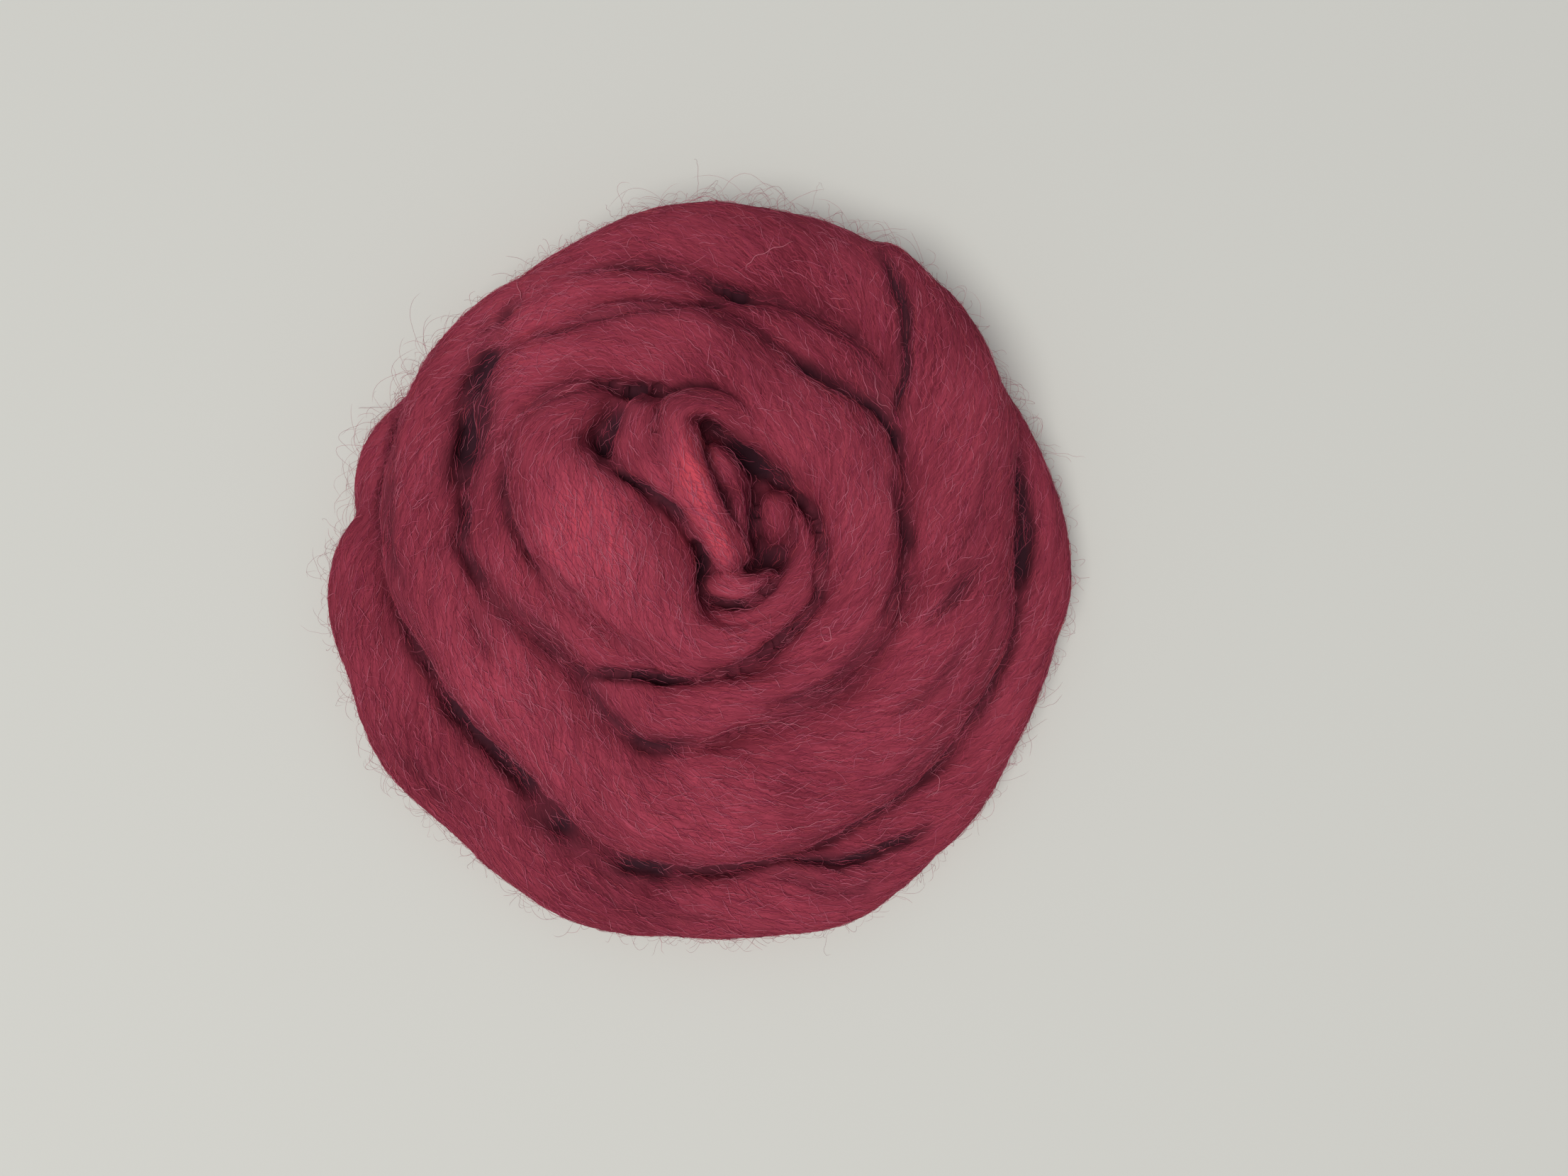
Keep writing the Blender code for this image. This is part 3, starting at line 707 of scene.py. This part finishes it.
def as_seen(spots):
    """Where each point shows to someone at CAMERA, on the plane that creases are drawn on."""
    far = (CAMERA[2] - DRAWN_AT) / (CAMERA[2] - spots[:, 2])
    return np.array(CAMERA[:2]) + (spots[:, :2] - CAMERA[:2]) * far[:, None]


def crease_depth(spots, spread=1.0):
    """How deep creases press in at each point, in mm, when spread this many times as wide."""
    wander = np.column_stack([patchy(spots, 7.0, 31), patchy(spots, 7.0, 32)])
    seen = as_seen(spots) + CREASE_WANDER * wander
    deepest = np.zeros(len(spots))
    for width, depth, *line in CREASES.values():
        line = np.array(line, dtype=float)
        near = np.full(len(spots), 1e9)
        for start, end in zip(line, line[1:]):
            run = end - start
            share = np.clip((seen - start) @ run / (run @ run), 0.0, 1.0)
            near = np.minimum(near, ((seen - start - share[:, None] * run) ** 2).sum(axis=1))
        ends = np.minimum(*(((seen - end) ** 2).sum(axis=1) for end in (line[0], line[-1])))
        fade = 0.4 + 0.6 * np.clip(np.sqrt(ends) / CREASE_FADE, 0.0, 1.0)
        deepest = np.maximum(deepest, depth * fade * np.exp(-near / (spread * width) ** 2))
    return deepest


def tone_and_painted_light_at(spots):
    """The painted shade (below 0) and painted light (above 0) on the wool, over a faint random
    tone of its dye.
    """
    seen = as_seen(spots)
    tone = 0.25 * patchy(spots, 14.0, 51)
    for x, y, reach, change in PAINTED_LIGHT_PATCHES.values():
        tone += change * np.exp(-((seen - (x, y)) ** 2).sum(axis=1) / reach**2)
    return np.clip(tone, DEEPEST_PAINTED_SHADE, BRIGHTEST_PAINTED_LIGHT)


def build_strand(settings):
    """The whole wound strand as one closed, streaked surface, with the lie of its fibres."""
    strand = whole_strand()
    points, faces = lofted(strand)
    rough = put_in_scene("rough", mesh_of("rough", points * MM, faces))
    mesh = melded(rough, settings.grain_mm * MM)
    spots = read(mesh.vertices, "co", 3) / MM
    spots[:, 2] = np.maximum(spots[:, 2], 0.0)

    near = find_places(spots, strand)
    along, around = strand_coordinates(spots, near, strand)
    owner = strand.owner[near]
    lean = np.radians([FIBRE_LEAN[name] for name in (*TURNS, *FOLDS)])[owner]
    u, v = fibre_coordinates(along, around, lean, owner)

    # The creases press in, but not on the walls and not close to the table.
    normal = normals_of(mesh, relaxed(mesh, spots, 3))
    facing_up = np.clip((normal[:, 2] + 0.1) / 0.4, 0.0, 1.0)
    pressed = crease_depth(spots) * facing_up * np.clip((spots[:, 2] - 3.0) / 8.0, 0.0, 1.0)
    # Painted shade: the wool along the creases is drawn darker, over a wider band than they press
    # in, and less so on the walls.
    crease_shade_depth = crease_depth(spots, CREASE_SHADE_SPREAD) * (0.4 + 0.6 * facing_up)
    above = np.clip(spots[:, 2] / 3.0, 0.0, 1.0)
    spots -= (0.6 * normal + (0.0, 0.0, 0.4)) * pressed[:, None]

    # Locks and streaks of fibre stand up in relief: length, spacing and height in mm, and a seed.
    normal = normals_of(mesh, relaxed(mesh, spots, 2))
    hollow, valley = (
        ((relaxed(mesh, spots, rounds) - spots) * normal).sum(axis=1) for rounds in (14, 160)
    )
    relief = np.zeros(len(spots))
    for length, spacing, height, seed in (
        (42.0, 6.5, settings.lock_relief_mm, 1),
        (30.0, 3.4, 0.5 * settings.lock_relief_mm, 2),
        (16.0, 1.9, settings.streak_relief_mm, 3),
    ):
        relief += height * soft_noise(u / length, v / spacing, seed)
    relief += 0.8 * patchy(spots, 23.0, 4, 9)
    relief -= settings.valley_mm * np.clip(hollow, 0.0, 1.5)
    spots += normal * (relief * above)[:, None]
    spots[:, 2] = np.maximum(spots[:, 2], 0.0)
    spots += CENTRED
    normal = normals_of(mesh, spots)

    # What the material reads: painted shade in the creases and hollows and in the broad valleys,
    # the patches of painted light and shade over a faint random tone of the dye, and the fibres'
    # lie.
    tone = tone_and_painted_light_at(spots)
    crease_shade = 0.4 * np.clip((hollow - 0.15) / 1.0, 0.0, 1.0) + 0.30 * crease_shade_depth
    crease_shade, valley, _ = relaxed(mesh, np.column_stack([crease_shade, valley, valley]), 2).T
    # Painted shade in the broad valleys, with less of it where the patches add painted light.
    shade = np.clip((valley + 0.6) / 3.6, 0.0, 1.0) * (1.0 - 0.28 * np.clip(tone, 0.0, BRIGHTEST_PAINTED_LIGHT))
    run = strand.run[near]
    run = unit(run - normal * (run * normal).sum(-1, keepdims=True))
    beside = np.cross(run, normal)
    lie = run * np.cos(lean)[:, None] + beside * np.sin(lean)[:, None]
    mesh.attributes.new("lie", "FLOAT_VECTOR", "POINT").data.foreach_set("vector", lie.ravel())
    for name, values in (
        ("crease_shade", np.clip(crease_shade, 0, 1)), ("shade", shade), ("tone", tone), ("along", u)
    ):
        mesh.attributes.new(name, "FLOAT", "POINT").data.foreach_set("value", values)
    lay_fibre_map(mesh, spots, along, around, lean, owner, run, beside)
    mesh.polygons.foreach_set("use_smooth", np.ones(len(mesh.polygons), dtype=bool))
    return put_in_scene("wool_strand", mesh)


def lay_fibre_map(mesh, spots, along, around, lean, owner, run, beside, jump=8.0):
    """A UV map in metres along and across the fibres, whole within every face.

    Where a face's corners are more than a jump apart in mm, its first corner sets the rest.
    """
    corner = read(mesh.loops, "vertex_index", 1, np.int32)
    start = read(mesh.polygons, "loop_start", 1, np.int32)
    first = np.repeat(corner[start], read(mesh.polygons, "loop_total", 1, np.int32))
    s, q = along[corner], around[corner]
    apart = (np.abs(s - along[first]) > jump) | (np.abs(q - around[first]) > jump)
    apart |= owner[corner] != owner[first]
    away = spots[corner] - spots[first]
    s = np.where(apart, along[first] + (away * run[first]).sum(-1), s)
    q = np.where(apart, around[first] + (away * beside[first]).sum(-1), q)
    u, v = fibre_coordinates(s, q, lean[first], owner[first])
    layer = mesh.uv_layers.new(name="fibre")
    layer.data.foreach_set("uv", np.column_stack([u * MM, v * MM]).astype(np.float32).ravel())


# --- single fibres ---


class Surface:
    """The strand's surface, to lay fibres on."""

    def __init__(self, strand_object):
        mesh = strand_object.data
        self.spots = read(mesh.vertices, "co", 3)
        self.normal = read(mesh.vertex_normals, "vector", 3)
        self.lie = read(mesh.attributes["lie"].data, "vector", 3)
        # The painted crease shade, and the patches of painted light and shade over the dye's
        # random tone, which also steer where fibres lie.
        self.crease_shade = read(mesh.attributes["crease_shade"].data, "value")
        self.tone = read(mesh.attributes["tone"].data, "value")
        self.along = read(mesh.attributes["along"].data, "value") * MM
        corner = read(mesh.loops, "vertex_index", 1, np.int32)
        self.faces = corner[read(mesh.polygons, "loop_start", 1, np.int32)]
        self.area = read(mesh.polygons, "area")
        self.tree = BVHTree.FromObject(strand_object, bpy.context.evaluated_depsgraph_get())

    def nearest(self, points):
        """The nearest place on the surface to each point, and a vertex of its face."""
        found = [self.tree.find_nearest(point) for point in points.tolist()]
        place = np.array([hit[0][:] for hit in found])
        return place, self.faces[np.array([hit[2] for hit in found])]


def turned(direction, normal, angle):
    """Directions turned about the surface's normal."""
    cos, sin = np.cos(angle)[:, None], np.sin(angle)[:, None]
    return direction * cos + np.cross(normal, direction) * sin


def trace(surface, seeds, stray, stride):
    """Walk from each seed vertex along the lie of the fibres; the path and its normals."""
    place, normal = surface.spots[seeds], surface.normal[seeds]
    heading = turned(surface.lie[seeds], normal, stray)
    paths, normals = [place], [normal]
    for _ in range(FIBRE_RINGS - 1):
        place, vertex = surface.nearest(place + heading * stride[:, None])
        normal = unit(normal + surface.normal[vertex])
        lie = turned(surface.lie[vertex], surface.normal[vertex], stray)
        lie *= np.sign((lie * heading).sum(-1, keepdims=True) + 1e-9)
        heading = unit(heading + lie)
        heading = unit(heading - normal * (heading * normal).sum(-1, keepdims=True))
        paths.append(place)
        normals.append(normal)
    return np.stack(paths, axis=1), np.stack(normals, axis=1)


def tubes(paths, normals, radius):
    """Closed three-sided fibres along these paths, flat side up and drawn out to a point."""
    count, rings = paths.shape[:2]
    run = unit(np.gradient(paths, axis=1))
    side = unit(np.cross(run, normals))
    up = np.cross(side, run)
    share = np.linspace(0.0, 1.0, rings)
    thick = radius[:, None] * np.minimum(1.0, 3.2 * np.minimum(share, 1 - share) + 0.3)
    inner = slice(1, -1)
    corners = [
        paths[:, inner]
        + (math.cos(angle) * side[:, inner] + math.sin(angle) * up[:, inner])
        * thick[:, inner, None]
        for angle in (math.pi / 6, math.pi * 5 / 6, math.pi * 3 / 2)
    ]
    body = np.stack(corners, axis=2).reshape(count, -1, 3)
    points = np.concatenate([body, paths[:, :1], paths[:, -1:]], axis=1)
    per = points.shape[1]
    last = 3 * (rings - 3)
    around = ((0, 1), (1, 2), (2, 0))
    sides = []
    for near in range(0, last, 3):
        far = near + 3
        for k, j in around:
            sides += [(near + k, near + j, far + j), (near + k, far + j, far + k)]
    for k, j in around:
        sides += [(per - 2, j, k), (per - 1, last + k, last + j)]
    faces = np.array(sides)[None] + (np.arange(count) * per)[:, None, None]
    return points.reshape(-1, 3), faces.reshape(-1, 3)


def fibre_object(name, paths, normals, radius, materials):
    """One joined mesh of fibres in these materials by turns, riding with the wool."""
    points, faces = tubes(paths, normals, radius)
    mesh = mesh_of(name, points, faces.tolist())
    mesh.polygons.foreach_set("use_smooth", np.ones(len(faces), dtype=bool))
    shade = np.repeat(np.arange(len(paths)) % len(materials), len(faces) // len(paths))
    mesh.polygons.foreach_set("material_index", shade.astype(np.int32))
    mesh.validate()
    for material in materials:
        mesh.materials.append(material)
    made = put_in_scene(name, mesh)
    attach(made, "root")
    return made


def crimped(rng, length, rings, start, height, wave):
    """The swing of the crimp at each ring of each fibre."""
    count = len(length)
    far = np.linspace(0.0, 1.0, rings)[None, :] * length[:, None]
    period = wave * rng.normal(1.0, 0.06, (count, 1))
    size = height * rng.uniform(0.5, 1.35, (count, 1))
    return size * np.sin(2 * math.pi * far / period + start[:, None])


def pick(rng, surface, count, weight):
    """Vertices of faces chosen at random, by area and by weight."""
    chance = surface.area * weight[surface.faces]
    return surface.faces[rng.choice(len(surface.faces), count, p=chance / chance.sum())]


def coat(name, seed, surface, settings, materials, lift_mm, stray_degrees, leaning):
    """One coat of crimped fibres lying along the strand."""
    rng = np.random.default_rng(seed)
    # Fewer of these paler fibres lie in the painted crease shade and on faces turned down; a coat
    # with a leaning above 0 gathers where painted light is, and one below 0 where painted shade
    # is, so their placing adds to the painted light and shade.
    open_to_light = 0.3 + 0.7 * np.clip(surface.normal[:, 2] + 0.3, 0, 1)
    weight = (surface.spots[:, 2] > 0.0015) * open_to_light * (1 - 0.7 * surface.crease_shade)
    weight *= np.exp(leaning * np.minimum(surface.tone, 1.0))
    count = settings.fibres
    seeds = pick(rng, surface, count, weight)
    length = settings.length * rng.uniform(0.6, 1.4, count)
    stray = np.radians(rng.normal(0, stray_degrees, count))
    paths, normals = trace(surface, seeds, stray, length / (FIBRE_RINGS - 1))
    side = np.cross(unit(np.gradient(paths, axis=1)), normals)
    arch = np.sin(math.pi * np.linspace(0, 1, FIBRE_RINGS))[None, :]
    lift = MM * (0.04 + lift_mm * rng.gamma(1.2, 1.0, (count, 1)) * arch)
    # Neighbours crimp in step, as they did in the lock that they grew in.
    start = 2 * math.pi * surface.along[seeds] / settings.crimp_length + rng.normal(0, 0.9, count)
    swing = crimped(rng, length, FIBRE_RINGS, start, settings.crimp, settings.crimp_length)
    paths = paths + normals * lift[..., None] + side * swing[..., None]
    paths[..., 2] = np.maximum(paths[..., 2], 0.0003)
    radius = settings.thickness / 2 * rng.uniform(0.7, 1.25, count)
    return fibre_object(name, paths, normals, radius, materials)


def loose_fibres(rng, surface, seeds, length, tilt, reach):
    """Paths and normals of fibres that leave the wool, arch through the air and end free."""
    count = len(seeds)
    place, normal = surface.spots[seeds], surface.normal[seeds]
    heading = turned(surface.lie[seeds], normal, rng.normal(0, 0.8, count))
    heading *= rng.choice((-1.0, 1.0), (count, 1))
    share = np.linspace(0, 1, LOOSE_RINGS)[None, :]
    side = np.cross(heading, normal)
    angle = (rng.normal(0, 0.9, (count, 1)) + rng.normal(0, 0.6, (count, 1)) * share) * share
    step = length[:, None] / (LOOSE_RINGS - 1)
    ahead = np.cumsum(np.cos(angle) * step, axis=1)
    aside = np.cumsum(np.sin(angle) * step, axis=1)
    start = rng.uniform(0, 2 * math.pi, count)
    aside = aside + crimped(rng, length, LOOSE_RINGS, start, height=0.00022, wave=0.0045)
    high = np.minimum(length * tilt, reach)[:, None]
    rise = high * np.sin(share * math.pi * rng.uniform(0.45, 1.0, (count, 1)))
    paths = place[:, None] + heading[:, None] * ahead[..., None] + side[:, None] * aside[..., None]
    paths = paths + normal[:, None] * (rise - 0.0003)[..., None]
    return paths, np.repeat(normal[:, None], LOOSE_RINGS, axis=1)


def fuzz(name, seed, surface, settings, materials):
    """Short fuzz all over, and long flyaways where the wool is roughest."""
    rng = np.random.default_rng(seed)
    x, y, z = surface.spots.T
    at_rim = np.clip(1.1 - surface.normal[:, 2], 0, 1) * (np.hypot(x, y) > 0.08)
    free = z > 0.003
    seeds = pick(rng, surface, settings.fuzz, free * (0.12 + at_rim))
    length = rng.gamma(4.0, 0.0011, len(seeds))
    tilt = rng.uniform(0.2, 0.9, len(seeds))
    parts = [loose_fibres(rng, surface, seeds, length, tilt, 0.004)]
    around = np.degrees(np.arctan2(y, x)) % 360
    for angle, spread, count, long_mm, stand in FLYAWAYS:
        off = np.abs((around - angle + 180) % 360 - 180)
        seeds = pick(rng, surface, count, free * at_rim * (off < spread) + 1e-9)
        length = MM * long_mm * rng.uniform(0.4, 1.15, count)
        tilt = rng.uniform(0.3, 1.0, count) * stand
        parts.append(loose_fibres(rng, surface, seeds, length, tilt, settings.reach))
    paths, normals = (np.concatenate(column) for column in zip(*parts))
    paths[..., 2] = np.maximum(paths[..., 2], 0.0004)
    for axis in (0, 1):
        paths[..., axis] = np.clip(paths[..., axis], CAD_LOW[axis] - PROUD, CAD_HIGH[axis] + PROUD)
    radius = settings.thickness / 2 * rng.uniform(0.7, 1.3, len(paths))
    return fibre_object(name, paths, normals, radius, materials)


def finer(path, rings):
    """The same path with this many points, on a smooth curve through the ones it has."""
    path = np.array(path, dtype=float)
    padded = np.concatenate([2 * path[:1] - path[1:2], path, 2 * path[-1:] - path[-2:-1]])
    at = np.linspace(0.0, len(path) - 1.0, rings)
    here = np.minimum(at.astype(int), len(path) - 2)
    return between(*(padded[here + k] for k in range(4)), (at - here)[:, None])


def strays(name, seed, surface, materials):
    """The few long bright fibres that lie across the turns, each where it shows."""
    rng = np.random.default_rng(seed)
    eye = Vector(CAMERA)
    paths, normals = [], []
    for line in STRAY_FIBRES:
        points, ups = [], []
        for x, y in finer(line, 9):
            along = Vector((x, y, DRAWN_AT)) - eye
            hit, normal, *_ = surface.tree.ray_cast((eye + CENTRED) * MM, along)
            if hit is not None:
                points.append(hit + normal * 0.0004)
                ups.append(normal)
        paths.append(finer(points, STRAY_RINGS))
        normals.append(finer(ups, STRAY_RINGS))
    paths, normals = np.array(paths), unit(np.array(normals))
    side = np.cross(unit(np.gradient(paths, axis=1)), normals)
    length = np.linalg.norm(np.diff(paths, axis=1), axis=2).sum(axis=1)
    start = rng.uniform(0, 6, len(paths))
    swing = crimped(rng, length, STRAY_RINGS, start, height=0.0003, wave=0.0042)
    radius = np.full(len(paths), 0.00009)
    return fibre_object(name, paths + side * swing[..., None], normals, radius, materials)


# --- materials ---


def add_node(tree, kind, settings=(), links=()):
    """Add a node, set its settings and sockets, and link its inputs by name or number.

    An input is linked to an output, or to a node, which stands for its first output.
    """
    node = tree.nodes.new("ShaderNode" + kind)
    for key, value in dict(settings).items():
        if isinstance(key, int) or key in node.inputs:
            node.inputs[key].default_value = value
        else:
            setattr(node, key, value)
    for key, source in dict(links).items():
        tree.links.new(getattr(source, "outputs", [source])[0], node.inputs[key])
    return node


def new_material(name):
    """A material with no nodes yet, and its node tree."""
    material = bpy.data.materials.new(name)
    material.use_nodes = True
    material.node_tree.nodes.clear()
    return material, material.node_tree


def combed_wool(settings):
    """Combed merino wool, dyed crimson: dull, faintly sheened, streaked along its fibres."""
    material, tree = new_material("combed merino wool, crimson")
    fibre = add_node(tree, "UVMap", {"uv_map": "fibre"})
    where = add_node(tree, "TexCoord").outputs["Object"]
    # Read from the mesh: the painted shade in the creases and hollows, the patches of painted
    # light and shade over the dye's faint random tone, and the painted shade in the broad valleys.
    crease_shade, depth, shade = (
        add_node(tree, "Attribute", {"attribute_name": name}).outputs["Fac"]
        for name in ("crease_shade", "tone", "shade")
    )

    # The crimp of fine merino: a wave 2.6 mm long that swings 0.13 mm, in step across a wisp.
    parts = add_node(tree, "SeparateXYZ", {}, {"Vector": fibre})
    drift = add_node(tree, "TexNoise", {"Scale": 500.0, "Detail": 2.0}, {"Vector": fibre})
    bend = add_node(tree, "Math", {"operation": "MULTIPLY", 1: 16.0}, {0: drift})
    phase = add_node(tree, "Math", {"operation": "MULTIPLY_ADD", 1: 2 * math.pi / 0.0026},
                     {0: parts.outputs["X"], 2: bend})
    wave = add_node(tree, "Math", {"operation": "SINE"}, {0: phase})
    swing = add_node(tree, "Math", {"operation": "MULTIPLY_ADD", 1: 0.00013},
                     {0: wave, 2: parts.outputs["Y"]})
    wavy = add_node(tree, "CombineXYZ", {}, {"X": parts.outputs["X"], "Y": swing})

    # Single fibres are 0.02 mm thick. They are drawn as threads 0.18 mm apart and 4 mm long,
    # over bundles 0.42 mm apart, wisps 1.0 mm apart and locks 4 mm apart, in these shares.
    dye = add_node(tree, "TexNoise", {"Scale": 38.0, "Detail": 1.0}, {"Vector": where})
    mixed = add_node(tree, "Math", {"operation": "MULTIPLY", 1: 0.15}, {0: dye})
    for length, spacing, share in (
        (0.045, 0.004, 0.10), (0.018, 0.0010, 0.15), (0.009, 0.00042, 0.28),
        (0.004, 0.00018, 0.32),
    ):
        drawn_out = add_node(tree, "Mapping", {"Scale": (1 / length, 1 / spacing, 1.0)},
                             {"Vector": wavy})
        streaks = add_node(tree, "TexNoise", {"Scale": 1.0, "Detail": 1.0, "Roughness": 0.6},
                           {"Vector": drawn_out})
        mixed = add_node(tree, "Math", {"operation": "MULTIPLY_ADD", 1: share},
                         {0: streaks, 2: mixed})
    # Painted light and shade: the patches raise the streaks' tone where painted light is and lower
    # it where painted shade is, up to the painted highlight colour.
    streaks_and_painted_light = add_node(tree, "Math", {"operation": "MULTIPLY_ADD", 1: 0.12}, {0: depth, 2: mixed})
    tone = add_node(tree, "ValToRGB", {}, {"Fac": streaks_and_painted_light})
    low, high = tone.color_ramp.elements
    low.position, low.color = 0.36, settings.deep_wool_and_shade
    high.position, high.color = 0.64, settings.light_wool
    tone.color_ramp.elements.new(0.82).color = settings.painted_highlight_wool
    # Painted shade: the broad valleys are mixed towards the deep wool colour and the creases
    # towards a darker one, where shadow falls.
    dim = add_node(tree, "Math", {"operation": "MULTIPLY", 1: 0.6}, {0: shade})
    valley = add_node(tree, "Mix", {"data_type": "RGBA", 7: settings.deep_wool_and_shade}, {0: dim, 6: tone})
    shaded = add_node(tree, "Mix", {"data_type": "RGBA", 7: settings.crease_shade_wool},
                      {0: crease_shade, 6: valley.outputs[2]})
    bump = add_node(tree, "Bump", {"Strength": 0.5, "Distance": 0.0002}, {"Height": mixed})
    skin = add_node(
        tree, "BsdfPrincipled",
        {"Roughness": 0.95, "IOR": 1.45, "Specular IOR Level": 0.05, "Sheen Weight": 0.12,
         "Sheen Roughness": 0.5, "Sheen Tint": linear("D06078")},
        {"Base Color": shaded.outputs[2], "Normal": bump},
    )
    add_node(tree, "OutputMaterial", {}, {"Surface": skin})
    return material


def single_fibres(name, *hex_colours):
    """Single fibres of the same wool, which takes dye unevenly, so that neighbours differ.

    Each fibre is plain in colour, since it is far thinner than the streaks of the wool.
    """
    shades = []
    for letter, hex_colour in zip("abcd", hex_colours):
        material, tree = new_material(f"merino fibre, {name} {letter}")
        skin = add_node(tree, "BsdfPrincipled", {
            "Base Color": linear(hex_colour), "Roughness": 0.8, "IOR": 1.45,
            "Specular IOR Level": 0.08,
        })
        add_node(tree, "OutputMaterial", {}, {"Surface": skin})
        shades.append(material)
    return shades


def table_top(settings):
    """A plain matt table top, painted pale grey."""
    material, tree = new_material("matt paint, pale grey")
    paint = {"Base Color": settings.table, "Roughness": 0.8, "Specular IOR Level": 0.2}
    skin = add_node(tree, "BsdfPrincipled", paint)
    add_node(tree, "OutputMaterial", {}, {"Surface": skin})
    return material


# --- operators ---


class ROVING_OT_wind_strand(bpy.types.Operator):
    """Wind the strand of wool into its nest"""

    bl_idname = "roving.wind_strand"
    bl_label = "Wind the strand"

    def execute(self, context):
        settings = context.scene.roving_strand
        made = build_strand(settings)
        made.data.materials.append(combed_wool(settings))
        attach(made, "root")
        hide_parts("roving")
        return {"FINISHED"}


class ROVING_OT_lay_fibres(bpy.types.Operator):
    """Lay coats of single crimped fibres along the strand"""

    bl_idname = "roving.lay_fibres"
    bl_label = "Lay the fibres"

    def execute(self, context):
        surface = Surface(bpy.data.objects["wool_strand"])
        for name, seed, colours, *way in COATS:
            shades = single_fibres(name.split("_")[1], *colours)
            coat(name, seed, surface, context.scene.roving_coat, shades, *way)
        return {"FINISHED"}


class ROVING_OT_raise_fuzz(bpy.types.Operator):
    """Raise the loose fibres and fuzz round the nest"""

    bl_idname = "roving.raise_fuzz"
    bl_label = "Raise the fuzz"

    def execute(self, context):
        surface = Surface(bpy.data.objects["wool_strand"])
        shades = single_fibres("flyaway", "B4566A", "A0405A")
        fuzz("fuzz", 21, surface, context.scene.roving_fuzz, shades)
        strays("stray_fibres", 77, surface, single_fibres("bright", "D07888"))
        return {"FINISHED"}


class ROVING_OT_set_stage(bpy.types.Operator):
    """Set the table, the soft light and the camera over the nest"""

    bl_idname = "roving.set_stage"
    bl_label = "Set the stage"

    def execute(self, context):
        settings = context.scene.roving_stage
        scene = context.scene
        bpy.ops.mesh.primitive_plane_add(size=40.0, location=(0.0, 0.0, -0.0002))
        table = context.active_object
        table.name = "table"
        table.data.materials.append(table_top(settings))

        scene.world = bpy.data.worlds.new("even room light")
        scene.world.use_nodes = True
        room = scene.world.node_tree.nodes["Background"].inputs
        room["Color"].default_value = linear("F4F6FF")
        room["Strength"].default_value = settings.sky

        window = bpy.data.lights.new("window", "AREA")
        window.shape = "DISK"
        window.size = 1.9
        window.energy = settings.key_power
        window.color = (1.0, 0.985, 0.96)
        light = put_in_scene("window", window)
        light.location = (-0.60, -0.70, 2.85)
        light.rotation_euler = (-light.location).to_track_quat("-Z", "Y").to_euler()

        lens = bpy.data.cameras.new("from above")
        lens.sensor_width = SENSOR_MM
        lens.lens = SENSOR_MM * FOCAL_PIXELS / FRAME_PIXELS
        lens.clip_start = 0.01
        scene.camera = put_in_scene("from above", lens)
        scene.camera.location = (
            (CAMERA[0] + CENTRED.x) * MM, (CAMERA[1] + CENTRED.y) * MM, settings.camera_height
        )
        scene.view_settings.view_transform = "Standard"
        return {"FINISHED"}


class ROVING_PT_panel(bpy.types.Panel):
    """The steps that make the nest, in order"""

    bl_label = "Wool roving"
    bl_idname = "ROVING_PT_panel"
    bl_space_type = "VIEW_3D"
    bl_region_type = "UI"
    bl_category = "Wool roving"

    def draw(self, context):
        for operator, group, _ in STEPS:
            self.layout.operator(operator.bl_idname)
            settings = getattr(context.scene, group)
            for name in settings.bl_rna.properties.keys():
                if name not in ("rna_type", "name"):
                    self.layout.prop(settings, name)


STEPS = (
    (ROVING_OT_wind_strand, "roving_strand", StrandSettings),
    (ROVING_OT_lay_fibres, "roving_coat", CoatSettings),
    (ROVING_OT_raise_fuzz, "roving_fuzz", FuzzSettings),
    (ROVING_OT_set_stage, "roving_stage", StageSettings),
)


def register():
    """Register the settings, the operators and the panel."""
    for operator, group, settings in STEPS:
        bpy.utils.register_class(settings)
        setattr(bpy.types.Scene, group, PointerProperty(type=settings))
        bpy.utils.register_class(operator)
    bpy.utils.register_class(ROVING_PT_panel)


def unregister():
    """Take them away again."""
    bpy.utils.unregister_class(ROVING_PT_panel)
    for operator, group, settings in reversed(STEPS):
        bpy.utils.unregister_class(operator)
        delattr(bpy.types.Scene, group)
        bpy.utils.unregister_class(settings)


def main():
    """Run every step in order."""
    register()
    bpy.ops.roving.wind_strand()
    bpy.ops.roving.lay_fibres()
    bpy.ops.roving.raise_fuzz()
    bpy.ops.roving.set_stage()


if __name__ == "__main__":
    main()
